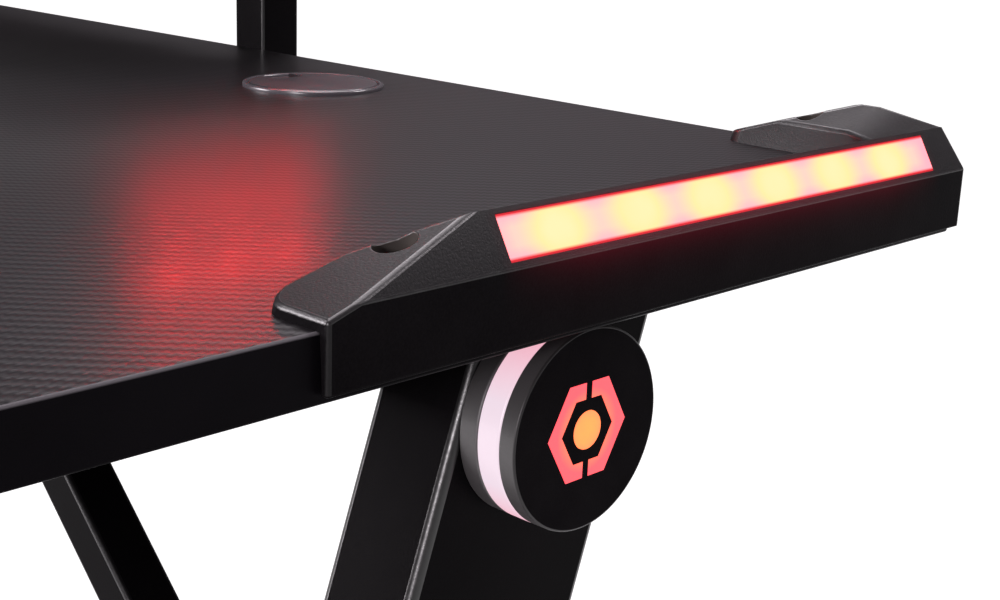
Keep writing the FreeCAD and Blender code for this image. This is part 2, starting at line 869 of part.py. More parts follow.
def control_box():
    """Shell screwed under the top, with a button in front and a socket below."""
    shell = block(box_x0, box_x1, box_y0, box_y1, box_z, under_z)
    inside = block(box_x0 + box_wall, box_x1 - box_wall, box_y0 + box_wall, box_y1 - box_wall,
                   box_z + box_wall, under_z - box_wall)
    shell = shell.cut(inside)
    ears = []
    for x in (box_x0 - ear_length, box_x1):
        ears.append(block(x, x + ear_length, box_y0, box_y1, under_z - ear_thick, under_z))
    shell = joined([shell] + ears)
    for place in box_screw_places():
        shell = drilled(shell, place, Z_AXIS, wood_screw_radius, ear_thick)
    button_place = FreeCAD.Vector(box_mid_x, box_y0, box_mid_z)
    button_hole = rod(button_place, Y_AXIS, button_radius + button_gap, box_wall)
    socket_hole = rod(socket_mouth(), Z_AXIS, socket_radius, box_wall)
    return shell.cut([button_hole, socket_hole])


def control_button():
    """Push button kept in by a flange behind the box's front wall."""
    front = FreeCAD.Vector(box_mid_x, box_y0 - button_proud, box_mid_z)
    flange_y = box_wall + button_gap
    stem = rod(front, Y_AXIS, button_radius, button_proud + flange_y + button_flange_thick)
    flange_place = FreeCAD.Vector(box_mid_x, box_y0 + flange_y, box_mid_z)
    flange = rod(flange_place, Y_AXIS, button_radius + button_flange, button_flange_thick)
    return joined([stem, flange])


def power_socket():
    """Barrel socket in the box's bottom wall, its mouth down."""
    body = rod(socket_mouth(), Z_AXIS, socket_radius, socket_length)
    return body.cut(rod(socket_mouth(), Z_AXIS, socket_bore_radius, socket_bore_length))


def leveller_pad(place):
    """Round floor pad with a pocket for the stud's foot."""
    pad = rod(place, Z_AXIS, pad_radius, pad_height)
    pocket_z = pad_height - pocket_depth
    return pad.cut(rod(place + Z_AXIS * pocket_z, Z_AXIS, stud_radius + fit_gap, pocket_depth))


def leveller_stud(place):
    """Threaded stud with a hexagon to turn it by."""
    start = pad_height - pocket_depth + seat_gap
    top = foot_z + tube_wall + nut_height
    shank = rod(place + Z_AXIS * start, Z_AXIS, stud_radius, top - start)
    corner = hex_flats / 2 / math.cos(math.radians(30))
    points = []
    for index in range(6):
        angle = math.radians(60 * index)
        spoke = FreeCAD.Vector(math.cos(angle), math.sin(angle), 0) * corner
        points.append(place + spoke + Z_AXIS * (pad_height + seat_gap))
    return joined([shank, prism(points, Z_AXIS * hex_height)])


def foot_nuts():
    """Threaded nuts welded on the floor of the foot bars."""
    nuts = []
    for place in leveller_places().values():
        seat = place + Z_AXIS * (foot_z + tube_wall)
        nut = rod(seat, Z_AXIS, nut_radius, nut_height)
        nuts.append(nut.cut(rod(seat, Z_AXIS, stud_radius + fit_gap, nut_height)))
    return nuts


def frame_caps():
    """Plugs in the ends of the foot bars, top arms and rear rail."""
    foot_front = FreeCAD.Vector(leg_mid_x, foot_y0, foot_z + foot_height / 2)
    foot_end = FreeCAD.Vector(leg_mid_x, foot_y1, foot_z + foot_height / 2)
    arm_mid = FreeCAD.Vector(arm_mid_x, front_y + arm_front, under_z - arm_height / 2)
    rail_end = FreeCAD.Vector(leg_inner_x, back_y - rail_depth / 2, under_z - rail_height / 2)
    caps = [
        tube_cap(foot_front, Y_AXIS * -1, X_AXIS, foot_width, foot_height),
        tube_cap(foot_end, Y_AXIS, X_AXIS, foot_width, foot_height),
        tube_cap(arm_mid, Y_AXIS * -1, X_AXIS, arm_width, arm_height),
        tube_cap(rail_end, X_AXIS, Y_AXIS, rail_depth, rail_height),
    ]
    return caps + [mirrored(cap) for cap in caps]


def shelf_caps():
    """Plugs in the shelf arms' fronts and the posts' feet."""
    arm_front_end = FreeCAD.Vector(post_x, back_y - shelf_arm_length, shelf_z - post_size / 2)
    post_foot = FreeCAD.Vector(post_x, back_y + post_size / 2, under_z - rail_height)
    caps = [
        tube_cap(arm_front_end, Y_AXIS * -1, X_AXIS, post_size, post_size),
        tube_cap(post_foot, Z_AXIS * -1, X_AXIS, post_size, post_size),
    ]
    return caps + [mirrored(cap) for cap in caps]


def wood_screws(places, through):
    """Screws running up through a thickness and on into wood."""
    return [screw(place, Z_AXIS, wood_screw_radius, through + wood_bite, wood_head_radius, wood_head_height)
            for place in places]


def leg_bolts():
    """Bolts from the top arms into the legs."""
    bolts = []
    for place in leg_bolt_places():
        one = screw(place, X_AXIS, bolt_radius, arm_width + bolt_reach, bolt_head_radius, bolt_head_height)
        bolts.append(one)
        bolts.append(mirrored(one))
    return bolts


def post_bolts():
    """Bolts from the rear rail into the posts."""
    return [screw(place, Y_AXIS, bolt_radius, rail_depth + bolt_reach, bolt_head_radius, bolt_head_height)
            for place in post_bolt_places()]


os.makedirs("parts", exist_ok=True)

board, edge_band = desktop()
save("desktop_board", board)
save("edge_band", edge_band)

save_pair("corner_cover", corner_cover())
save_pair("light_diffuser", light_diffuser())
save_pair("led_strip", led_strip())
chips = led_chips()
save("led_chips_right", chips)
save("led_chips_left", [mirrored(chip) for chip in chips])
save("cover_screws", cover_screws())

save_pair("leg", leg())
save_pair("top_arm", top_arm())
save_pair("foot_bar", foot_bar())
save_pair("knee_brace", knee_brace())
save("main_beam", main_beam())
save("rear_rail", rear_rail())
save("frame_caps", frame_caps())
save("leg_bolts", leg_bolts())
desk_screws = wood_screws(desk_screw_places(), arm_height) + wood_screws(box_screw_places(), ear_thick)
save("desk_screws", desk_screws)

save_pair("shelf_post", shelf_post())
save_pair("shelf_arm", shelf_arm())
save("shelf_board", shelf_board())
save("shelf_lights", shelf_lights())
save("shelf_caps", shelf_caps())
save("shelf_screws", wood_screws(shelf_screw_places(), post_size))
save("post_bolts", post_bolts())

save_pair("lamp_base", lamp_base())
save_pair("lamp_ring", lamp_ring())
save_pair("lamp_front", lamp_front())
save_pair("lamp_lens", lamp_lens())
save_pair("lamp_board", lamp_board())
save("lamp_screws", lamp_screws())

for side, place in grommet_places().items():
    save("grommet_liner_" + side, grommet_liner(place))
    save("grommet_cap_" + side, grommet_cap(place))

save("control_box", control_box())
save("control_button", control_button())
save("power_socket", power_socket())

for corner, place in leveller_places().items():
    save("leveller_pad_" + corner, leveller_pad(place))
    save("leveller_stud_" + corner, leveller_stud(place))
save("foot_nuts", foot_nuts())
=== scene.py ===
import json
import math

import bmesh
import bpy
from mathutils import Euler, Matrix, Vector
from mathutils.bvhtree import BVHTree

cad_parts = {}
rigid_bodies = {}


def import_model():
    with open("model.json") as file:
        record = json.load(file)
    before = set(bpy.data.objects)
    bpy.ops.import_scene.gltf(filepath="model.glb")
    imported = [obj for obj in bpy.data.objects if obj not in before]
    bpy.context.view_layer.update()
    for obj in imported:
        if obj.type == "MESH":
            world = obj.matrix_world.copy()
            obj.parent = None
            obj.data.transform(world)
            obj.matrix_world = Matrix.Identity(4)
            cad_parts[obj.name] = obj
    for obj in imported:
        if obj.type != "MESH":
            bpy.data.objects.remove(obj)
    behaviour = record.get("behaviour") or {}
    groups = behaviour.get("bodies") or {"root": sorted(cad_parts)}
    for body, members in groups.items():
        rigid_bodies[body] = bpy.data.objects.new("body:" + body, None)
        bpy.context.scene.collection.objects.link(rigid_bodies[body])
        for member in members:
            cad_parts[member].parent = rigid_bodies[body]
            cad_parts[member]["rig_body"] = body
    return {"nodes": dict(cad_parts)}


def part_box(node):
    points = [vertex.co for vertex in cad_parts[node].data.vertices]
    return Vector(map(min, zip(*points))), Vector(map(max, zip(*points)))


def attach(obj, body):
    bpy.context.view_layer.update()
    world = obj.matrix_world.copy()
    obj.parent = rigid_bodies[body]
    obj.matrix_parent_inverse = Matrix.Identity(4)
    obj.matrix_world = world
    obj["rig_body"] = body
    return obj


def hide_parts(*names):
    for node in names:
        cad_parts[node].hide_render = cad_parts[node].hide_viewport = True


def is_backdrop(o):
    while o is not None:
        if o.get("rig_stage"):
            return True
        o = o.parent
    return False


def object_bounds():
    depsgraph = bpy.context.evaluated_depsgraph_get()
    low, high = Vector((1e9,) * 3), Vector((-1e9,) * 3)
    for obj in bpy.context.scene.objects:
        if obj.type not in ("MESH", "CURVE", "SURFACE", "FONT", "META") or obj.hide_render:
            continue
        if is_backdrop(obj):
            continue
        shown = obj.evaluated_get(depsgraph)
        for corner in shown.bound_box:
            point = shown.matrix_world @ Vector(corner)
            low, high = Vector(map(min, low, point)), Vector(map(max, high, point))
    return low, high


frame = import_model()
nodes = frame["nodes"]
cad_low, cad_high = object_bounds()
sides = {"right": 1, "left": -1}
mm = 0.001


# Side frames and cross tubes: rectangular steel tubes, sawn, welded and black powder coated.
# Rolling leaves their long edges round, and the coat dries with a fine pebbled grain.
merge_distance = 1e-6
flat_angle = math.radians(0.5)
smooth_angle = math.radians(35)
tube_edge_turn = math.radians(60)
tube_edge_length = 100 * mm
leg_edge = 3.0 * mm
tube_edge = 2.5 * mm
brace_edge = 1.8 * mm
edge_polish = 0.8
noise_low = 0.3
noise_high = 0.7


def edge_turn(edge):
    """Angle between an edge's two faces, below zero in a hollow."""
    return edge.calc_face_angle_signed(0.0) if len(edge.link_faces) == 2 else 0.0


def outside_faces(shape):
    """Faces that look out of the shape, with nothing of it in front of them."""
    tree = BVHTree.FromBMesh(shape)
    step = 0.02 * mm
    found = set()
    for face in shape.faces:
        start = face.calc_center_median() + face.normal * step
        if tree.ray_cast(start, face.normal)[0] is None:
            found.add(face)
    return found


def settled(piece):
    """The piece with its modifiers worked into a plain mesh."""
    shown = piece.evaluated_get(bpy.context.evaluated_depsgraph_get())
    mesh = bpy.data.meshes.new_from_object(shown)
    rough = piece.data
    piece.modifiers.clear()
    piece.data = mesh
    bpy.data.meshes.remove(rough)
    mesh.name = piece.name
    return piece


def new_piece(name, shape):
    """Object made from a bmesh, which is freed."""
    mesh = bpy.data.meshes.new(name)
    shape.to_mesh(mesh)
    shape.free()
    piece = bpy.data.objects.new(name, mesh)
    bpy.context.scene.collection.objects.link(piece)
    return piece


def even_normals(piece):
    """Shade large flat faces flat beside their rounded edges."""
    modifier = piece.modifiers.new("even", "WEIGHTED_NORMAL")
    modifier.keep_sharp = True


def rounded_copy(name, node_name, radius_of, segments=4):
    """Merged copy of a node whose edges are rounded by what radius_of gives for each."""
    shape = bmesh.new()
    shape.from_mesh(nodes[node_name].data)
    bmesh.ops.remove_doubles(shape, verts=shape.verts, dist=merge_distance)
    bmesh.ops.dissolve_limit(shape, angle_limit=flat_angle, verts=shape.verts, edges=shape.edges)
    weight = shape.edges.layers.float.new("bevel_weight_edge")
    inner = shape.faces.layers.float.new("inner")
    shape.normal_update()
    outside = outside_faces(shape)
    radii = {edge: radius_of(edge, outside) for edge in shape.edges}
    widest = max(radii.values())
    for edge, radius in radii.items():
        edge[weight] = radius / widest
        edge.smooth = radius > 0 or abs(edge_turn(edge)) < smooth_angle
    for face in shape.faces:
        face.smooth = True
        face[inner] = float(face not in outside)
    piece = new_piece(name, shape)
    for _ in range(2):
        piece.data.materials.append(None)
    bevel = piece.modifiers.new("round", "BEVEL")
    bevel.limit_method = "WEIGHT"
    bevel.use_clamp_overlap = False
    bevel.width = widest
    bevel.segments = segments
    bevel.material = 1
    even_normals(piece)
    return marked_rounding(settled(piece))


def marked_rounding(piece):
    """Keep in a face attribute which faces came from rounding, and give all faces one slot again."""
    faces = piece.data.polygons
    marks = [float(face.material_index == 1) for face in faces]
    rounding = piece.data.attributes.new("rounding", "FLOAT", "FACE")
    rounding.data.foreach_set("value", marks)
    faces.foreach_set("material_index", [0] * len(faces))
    return piece


def put_in_place(piece, finish, slot, *cad):
    """Give a piece its finish and let it stand for its nodes, on the body they ride on."""
    piece.data.materials.clear()
    piece.data.materials.append(finish)
    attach(piece, nodes[cad[0]]["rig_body"])
    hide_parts(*cad)


def node(tree, kind, inputs=None, **settings):
    """New node: plain values go on its sockets, outputs of other nodes are linked to them."""
    made = tree.nodes.new(kind)
    for setting, value in settings.items():
        setattr(made, setting, value)
    for socket, value in (inputs or {}).items():
        if isinstance(value, bpy.types.NodeSocket):
            tree.links.new(value, made.inputs[socket])
        else:
            made.inputs[socket].default_value = value
    return made


def blank_finish(name, **constants):
    """Material with its tree, its shader and its object coordinates; constants go on the shader."""
    finish = bpy.data.materials.new(name)
    finish.use_nodes = True
    tree = finish.node_tree
    shader = tree.nodes["Principled BSDF"]
    for socket, value in constants.items():
        shader.inputs[socket.replace("_", " ")].default_value = value
    place = node(tree, "ShaderNodeTexCoord").outputs["Object"]
    return finish, tree, shader, place


def math_node(tree, operation, first, second=0.0):
    """Output of a sum, product or other operation on two values."""
    return node(tree, "ShaderNodeMath", {0: first, 1: second}, operation=operation).outputs[0]


def mixed_colour(tree, share, low, high):
    """Output of a colour that goes from low to high with share."""
    mix = node(tree, "ShaderNodeMix", {0: share, 6: low, 7: high}, data_type="RGBA")
    return mix.outputs[2]


def ranged(tree, value, low, high, from_low=noise_low, from_high=noise_high):
    """Output of value moved from one range, by default that of most noise, to another."""
    inputs = {"Value": value, "From Min": from_low, "From Max": from_high, "To Min": low, "To Max": high}
    return node(tree, "ShaderNodeMapRange", inputs).outputs["Result"]


def noise(tree, place, scale, detail=2.0):
    """Output of noise with about so many lumps to a metre."""
    return node(tree, "ShaderNodeTexNoise", {"Vector": place, "Scale": scale, "Detail": detail}).outputs[0]


def face_mark(tree, name):
    """Output of a value kept on the faces of a rounded copy."""
    return node(tree, "ShaderNodeAttribute", attribute_name=name).outputs["Fac"]


def grained_finish(name, dark, light, patch, grain, depth, rough, edge_gloss=None, **constants):
    """Painted or moulded surface: slow drift of colour, fine grain in bump and roughness.

    Rounded edges are smoother than the faces, as touch and tools polish them, and can shine more."""
    finish, tree, shader, place = blank_finish(name, **constants)
    rounding = face_mark(tree, "rounding")
    if edge_gloss is not None:
        gloss = shader.inputs["Specular IOR Level"]
        tree.links.new(ranged(tree, rounding, gloss.default_value, edge_gloss, 0.0, 1.0), gloss)
    drift = noise(tree, place, 1 / patch, detail=4.0)
    fine = noise(tree, place, 1 / grain, detail=3.0)
    share = ranged(tree, math_node(tree, "ADD", drift, fine), 0.0, 1.0, 2 * noise_low, 2 * noise_high)
    colour = mixed_colour(tree, share, (*dark, 1), (*light, 1))
    tree.links.new(colour, shader.inputs["Base Color"])
    polish = ranged(tree, rounding, 1.0, edge_polish, 0.0, 1.0)
    roughness = math_node(tree, "MULTIPLY", ranged(tree, fine, *rough), polish)
    tree.links.new(roughness, shader.inputs["Roughness"])
    bump = node(tree, "ShaderNodeBump", {"Height": fine, "Distance": depth})
    tree.links.new(bump.outputs[0], shader.inputs["Normal"])
    return finish


powder_coat = grained_finish("powder_coat", (0.0022, 0.0018, 0.0022), (0.005, 0.0044, 0.005), patch=40 * mm,
                             grain=0.7 * mm, depth=0.03 * mm, rough=(0.36, 0.48), edge_gloss=0.6,
                             Specular_IOR_Level=0.018)


def coated_tube(node_name, radius):
    """Powder-coated copy of a tube with round long edges."""
    def radius_of(edge, outside):
        long_edge = edge_turn(edge) > tube_edge_turn and edge.calc_length() > tube_edge_length
        return radius if long_edge else 0.0

    piece = rounded_copy("coated_" + node_name, node_name, radius_of)
    put_in_place(piece, powder_coat, "frame_black", node_name)


for side in sides:
    coated_tube("leg_" + side, leg_edge)
    coated_tube("top_arm_" + side, tube_edge)
    coated_tube("foot_bar_" + side, tube_edge)
    coated_tube("knee_brace_" + side, brace_edge)
coated_tube("main_beam", tube_edge)
coated_tube("rear_rail", tube_edge)


# Tube plugs: moulded polythene caps pushed into the open tube ends.
# Their plates follow the tube's round corners and have a softened rim.
plug_corner = 2.2 * mm
plug_rim = 0.7 * mm
plug_plate = 3.0 * mm
plug_black = grained_finish("plug_black", (0.012, 0.011, 0.012), (0.024, 0.023, 0.025), patch=15 * mm,
                            grain=0.5 * mm, depth=0.02 * mm, rough=(0.5, 0.62), Specular_IOR_Level=0.25)


def plug_radius(edge, outside):
    """Round the plate's corners and the rim of its outer face."""
    if edge_turn(edge) < tube_edge_turn or not all(face in outside for face in edge.link_faces):
        return 0.0
    return plug_corner if abs(edge.calc_length() - plug_plate) < plug_rim / 2 else plug_rim


for group in ("frame_caps", "shelf_caps"):
    put_in_place(rounded_copy("moulded_" + group, group, plug_radius), plug_black, "plug_black", group)


# Levelling feet: rubber pads pressed on zinc-plated M8 studs with a hexagon to turn them by.
# Each stud runs in a nut welded inside the foot bar.
corners = [end + "_" + side for end in ("front", "back") for side in sides]
thread_pitch = 1.25 * mm
thread_depth = 0.6 * mm
stud_radius = 4.0 * mm
stud_round_steps = 40
stud_rings_per_turn = 6
hexagon_sides = 6
hexagon_flats = 13.0 * mm
hexagon_low = 8.1 * mm
hexagon_high = 14.1 * mm
hexagon_chamfer = 0.8 * mm
pad_edge = 0.25 * mm
pad_section = [(0, 0), (0, 19.4), (0.7, 20), (3.0, 20), (3.4, 19.2), (4.0, 19.2), (4.4, 19.8), (6.4, 18.4),
               (8.0, 12.0), (8.0, 4.1), (3.05, 4.1), (3.05, 0)]


def turned(name, centre, axis, profile, edge_radius, steps=96, segments=3):
    """Piece turned about an axis from (along, radius) points, walked once round its section."""
    shape = bmesh.new()
    across = axis.orthogonal().normalized()
    other = axis.cross(across)
    rings = []
    for step in range(steps):
        angle = 2 * math.pi * step / steps
        spoke = across * math.cos(angle) + other * math.sin(angle)
        rings.append([shape.verts.new(centre + axis * along + spoke * radius) for along, radius in profile])
    for step in range(steps):
        near, far = rings[step - 1], rings[step]
        for index in range(len(profile)):
            if profile[index - 1][1] > 0 or profile[index][1] > 0:
                shape.faces.new((near[index - 1], near[index], far[index], far[index - 1]))
    bmesh.ops.remove_doubles(shape, verts=shape.verts, dist=merge_distance)
    bmesh.ops.recalc_face_normals(shape, faces=shape.faces)
    for face in shape.faces:
        face.smooth = True
    piece = new_piece(name, shape)
    bevel = piece.modifiers.new("round", "BEVEL")
    bevel.limit_method = "ANGLE"
    bevel.angle_limit = smooth_angle
    bevel.width = edge_radius
    bevel.segments = segments
    even_normals(piece)
    return settled(piece)


def box_middle(node_name):
    """Middle of a node's box."""
    low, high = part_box(node_name)
    return (low + high) / 2


up = Vector((0, 0, 1))
pad_rubber = grained_finish("pad_rubber", (0.012, 0.012, 0.012), (0.03, 0.029, 0.029), patch=8 * mm,
                            grain=0.6 * mm, depth=0.04 * mm, rough=(0.65, 0.8), Specular_IOR_Level=0.3)
stud_zinc = grained_finish("stud_zinc", (0.42, 0.42, 0.43), (0.62, 0.62, 0.6), patch=6 * mm, grain=0.4 * mm,
                           depth=0.01 * mm, rough=(0.25, 0.4), Metallic=1.0)


def ring_point(shape, centre, share, radius, level):
    """Point at a share of a turn, a radius and a level."""
    angle = 2 * math.pi * share
    return shape.verts.new(centre + Vector((radius * math.cos(angle), radius * math.sin(angle), level)))


def close_stack(shape, rings):
    """Walls between neighbouring rings of points, and a lid on both ends."""
    for lower, upper in zip(rings, rings[1:]):
        for step in range(len(lower)):
            shape.faces.new((lower[step - 1], lower[step], upper[step], upper[step - 1]))
    shape.faces.new(list(reversed(rings[0])))
    shape.faces.new(rings[-1])


def threaded_stud(name, centre, low, high):
    """Stud with a helical thread, and its hexagon."""
    shape = bmesh.new()
    ring_count = int((high - low) / thread_pitch * stud_rings_per_turn)
    rings = []
    for ring in range(ring_count + 1):
        z = low + (high - low) * ring / ring_count
        row = []
        for step in range(stud_round_steps):
            share = step / stud_round_steps
            phase = (z / thread_pitch - share) % 1.0
            radius = stud_radius - thread_depth * abs(2 * phase - 1)
            row.append(ring_point(shape, centre, share, radius, z))
        rings.append(row)
    close_stack(shape, rings)
    corner = hexagon_flats / 2 / math.cos(math.pi / hexagon_sides)
    slope = hexagon_chamfer / 2
    rings = []
    for z, radius in ((hexagon_low, corner - hexagon_chamfer), (hexagon_low + slope, corner),
                      (hexagon_high - slope, corner), (hexagon_high, corner - hexagon_chamfer)):
        shares = [step / hexagon_sides for step in range(hexagon_sides)]
        rings.append([ring_point(shape, centre, share, radius, z) for share in shares])
    close_stack(shape, rings)
    bmesh.ops.recalc_face_normals(shape, faces=shape.faces)
    return new_piece(name, shape)


for corner_name in corners:
    pad, stud = "leveller_pad_" + corner_name, "leveller_stud_" + corner_name
    floor_point = box_middle(pad)
    floor_point.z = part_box(pad)[0].z
    profile = [(along * mm, radius * mm) for along, radius in pad_section]
    piece = turned("rubber_" + pad, floor_point, up, profile, pad_edge)
    put_in_place(piece, pad_rubber, "pad_rubber", pad)
    stud_low, stud_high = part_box(stud)
    piece = threaded_stud("threaded_" + stud, floor_point, stud_low.z, stud_high.z)
    put_in_place(piece, stud_zinc, "stud_zinc", stud)


# Desktop: particle board under a dark film, pressed on hot by a roller that embosses it.
# The pattern is a soft twill: fine ribs that run diagonally over the desk and waver at each step.
# The roller polishes their ridges and leaves the valleys dull; the ridges are also painted paler, a painted
# shading of the ribs.
rib_pitch = 4.6 * mm
rib_step = 2.5 * mm
rib_sway = 0.1
top_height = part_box("desktop_board")[1].z
top_skin = 0.1 * mm
film_depth = 0.05 * mm
valley_gloss = 0.16
ridge_gloss = 0.55
film_dark = (0.012, 0.0105, 0.012)
# Colour of the ridges, painted paler than the valleys as painted shading.
film_ridge_painted_light = (0.018, 0.016, 0.018)
film_rough = (0.29, 0.33)
film_drift = (0.75, 1.0)
drift_scale = 9.0
speck_scale = 2200.0
board_back = (0.02, 0.019, 0.02)


def dress(node_name, finish):
    """Finish on a node whose own shape is shown."""
    for place in nodes[node_name].material_slots:
        place.material = finish


def coordinate(tree, place, axis):
    """Output of one coordinate of a place or a direction."""
    return node(tree, "ShaderNodeSeparateXYZ", {0: place}).outputs[axis]


def twill_height(tree, place):
    """Height, from 0 to 1, of wavering ribs that run to the right and the back."""
    right, back = coordinate(tree, place, "X"), coordinate(tree, place, "Y")
    across = math_node(tree, "SUBTRACT", back, right)
    along = math_node(tree, "ADD", right, back)
    turns = math_node(tree, "MULTIPLY", across, math.sqrt(2) * math.pi / rib_pitch)
    steps = math_node(tree, "MULTIPLY", along, math.sqrt(2) * math.pi / rib_step)
    sway = math_node(tree, "MULTIPLY", math_node(tree, "SINE", steps), 2 * math.pi * rib_sway)
    wave = math_node(tree, "COSINE", math_node(tree, "ADD", turns, sway))
    return ranged(tree, wave, 0.0, 1.0, -1.0, 1.0)


def embossed_film(name):
    """Film with its weave on the top face, its ridges painted paler as painted shading, plain backing paper
    on the others.
    """
    finish, tree, shader, place = blank_finish(name, Coat_Weight=0.06, Coat_Roughness=0.12)
    height = twill_height(tree, place)
    drift = noise(tree, place, drift_scale, detail=5.0)
    speck = noise(tree, place, speck_scale)
    level = coordinate(tree, place, "Z")
    on_top = math_node(tree, "GREATER_THAN", level, top_height - top_skin)
    share = math_node(tree, "MULTIPLY", ranged(tree, drift, *film_drift), height)
    # Ridges are painted paler than the valleys: painted shading of the ribs.
    ribs_painted_shade = mixed_colour(tree, share, (*film_dark, 1), (*film_ridge_painted_light, 1))
    paper = mixed_colour(tree, speck, (*film_dark, 1), (*board_back, 1))
    colour = mixed_colour(tree, on_top, paper, ribs_painted_shade)
    tree.links.new(colour, shader.inputs["Base Color"])
    tree.links.new(ranged(tree, speck, *film_rough), shader.inputs["Roughness"])
    relief = math_node(tree, "MULTIPLY", height, on_top)
    gloss = ranged(tree, relief, valley_gloss, ridge_gloss, 0.0, 1.0)
    tree.links.new(gloss, shader.inputs["Specular IOR Level"])
    weave = node(tree, "ShaderNodeBump", {"Height": relief, "Distance": film_depth})
    tree.links.new(weave.outputs[0], shader.inputs["Normal"])
    return finish


dress("desktop_board", embossed_film("embossed_film"))


# Edge band: black plastic strip glued round the board with hot melt.
# A cutter and a scraper trim it flush, which rounds both rims slightly; the upper rim gets a painted
# highlight, a paler line.
band_rim = 0.8 * mm
level_rise = 0.9
# Paler grey for the band's upper rim: a painted highlight.
band_rim_painted_highlight = (0.1, 0.095, 0.102)
edge_black = grained_finish("edge_black", (0.0022, 0.0018, 0.0025), (0.005, 0.0042, 0.0055), patch=30 * mm,
                            grain=0.4 * mm, depth=0.012 * mm, rough=(0.34, 0.44), Specular_IOR_Level=0.02)


def paint_band_rim_highlight(finish):
    """Paint a highlight, a paler line, along the band's upper rim."""
    tree = finish.node_tree
    colour = tree.nodes["Principled BSDF"].inputs["Base Color"]
    place = node(tree, "ShaderNodeTexCoord").outputs["Object"]
    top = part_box("edge_band")[1].z
    share = ranged(tree, coordinate(tree, place, "Z"), 0.0, 1.0, top - band_rim, top - band_rim / 2)
    plain = colour.links[0].from_socket
    tree.links.new(mixed_colour(tree, share, plain, (*band_rim_painted_highlight, 1)), colour)


paint_band_rim_highlight(edge_black)


def band_radius(edge, outside):
    """Round the outer rims of the band, top and bottom."""
    level = [abs(face.normal.z) > level_rise for face in edge.link_faces]
    outer = [face in outside and not flat for face, flat in zip(edge.link_faces, level)]
    return band_rim if any(level) and any(outer) and edge_turn(edge) > tube_edge_turn else 0.0


band = rounded_copy("trimmed_edge_band", "edge_band", band_radius)
put_in_place(band, edge_black, "edge_black", "edge_band")


# Cable grommets: satin grey plastic, a moulded liner pressed into a hole in the top.
# A cap turns in the liner's seat and has a slot at its edge for cables.
liner_rim = 1.1 * mm
cap_rim = 0.6 * mm
grommet_grey = grained_finish("grommet_grey", (0.05, 0.046, 0.052), (0.08, 0.073, 0.082), patch=12 * mm,
                              grain=0.5 * mm, depth=0.012 * mm, rough=(0.26, 0.36), edge_gloss=1.0,
                              Specular_IOR_Level=0.5)


def rim_radius(radius):
    """Rule that rounds every upper rim by one radius."""
    def radius_of(edge, outside):
        seen = any(face in outside for face in edge.link_faces)
        high = min(vertex.co.z for vertex in edge.verts) > top_height + merge_distance
        return radius if seen and high and edge_turn(edge) > tube_edge_turn else 0.0

    return radius_of


for side in sides:
    for part, radius in (("grommet_liner_", liner_rim), ("grommet_cap_", cap_rim)):
        piece = rounded_copy("moulded_" + part + side, part + side, rim_radius(radius))
        put_in_place(piece, grommet_grey, "grommet_grey", part + side)


# Corner covers: moulded shells in fine-grained black plastic, screwed down on the desk's back corners.
# A sloping face carries the light strip, and a ramp with a screw well ends each arm.
cover_edge = 1.2 * mm
cover_fold = 0.45 * mm
cover_rim = 0.7 * mm
well_rim = 0.45 * mm
cover_crease_turn = math.radians(25)
underside_rise = -0.3
upright_rise = 0.05
fold_rise = (0.3, 0.7)
well_chord = 3.0 * mm
cover_wall_gloss = 0.008
cover_slope_gloss = 0.18
cover_edge_gloss = 0.65
cover_top_share = 0.75
wall_to_slope = (0.1, 0.28)
slope_to_top = (0.6, 0.93)
low_to_high_edge = (-0.06, 0.2)
# Paler colour for the faces inside the moulding, such as the screw wells' walls: painted light.
well_painted_light = (0.05, 0.044, 0.04)
cover_black = grained_finish("cover_black", (0.004, 0.0035, 0.004), (0.009, 0.0082, 0.009), patch=25 * mm,
                             grain=0.7 * mm, depth=0.07 * mm, rough=(0.38, 0.5))
cover_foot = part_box("corner_cover_right")[0].z


def gloss_by_slope(finish):
    """Dull the moulding on upright walls, and let sloping faces and rounded upper edges shine."""
    tree = finish.node_tree
    facing = node(tree, "ShaderNodeTexCoord").outputs["Normal"]
    rise = coordinate(tree, facing, "Z")
    slope = ranged(tree, rise, cover_wall_gloss, cover_slope_gloss, *wall_to_slope)
    top = ranged(tree, rise, 1.0, cover_top_share, *slope_to_top)
    upper = ranged(tree, rise, 0.0, 1.0, *low_to_high_edge)
    rounding = math_node(tree, "MULTIPLY", face_mark(tree, "rounding"), upper)
    inputs = {0: rounding, 2: math_node(tree, "MULTIPLY", slope, top), 3: cover_edge_gloss}
    gloss = node(tree, "ShaderNodeMix", inputs).outputs[0]
    tree.links.new(gloss, tree.nodes["Principled BSDF"].inputs["Specular IOR Level"])


gloss_by_slope(cover_black)


def paint_light_in_wells(finish):
    """Paint the faces hidden inside the moulding, such as the walls of the screw wells, paler: painted light.
    """
    tree = finish.node_tree
    colour = tree.nodes["Principled BSDF"].inputs["Base Color"]
    plain = colour.links[0].from_socket
    tree.links.new(mixed_colour(tree, face_mark(tree, "inner"), plain, (*well_painted_light, 1)), colour)


paint_light_in_wells(cover_black)


def cover_radius(edge, outside):
    """Round the outer creases, less so below the strip, the lower rim and the mouths of the wells."""
    seen = [face in outside and face.normal.z > underside_rise for face in edge.link_faces]
    turn = edge_turn(edge)
    if all(seen) and turn > cover_crease_turn:
        flattest, steepest = sorted((face.normal.z for face in edge.link_faces), reverse=True)
        fold = steepest < upright_rise and fold_rise[0] < flattest < fold_rise[1]
        return cover_fold if fold else cover_edge
    low = all(abs(vertex.co.z - cover_foot) < merge_distance for vertex in edge.verts)
    if low and any(seen):
        return cover_rim
    upright = [abs(face.normal.z) < upright_rise for face in edge.link_faces]
    high = min(vertex.co.z for vertex in edge.verts) > top_height
    short = edge.calc_length() < well_chord
    if any(seen) and any(upright) and high and short and turn > tube_edge_turn:
        return well_rim
    return 0.0


for side in sides:
    cover = "corner_cover_" + side
    piece = rounded_copy("moulded_" + cover, cover, cover_radius)
    put_in_place(piece, cover_black, "cover_black", cover)


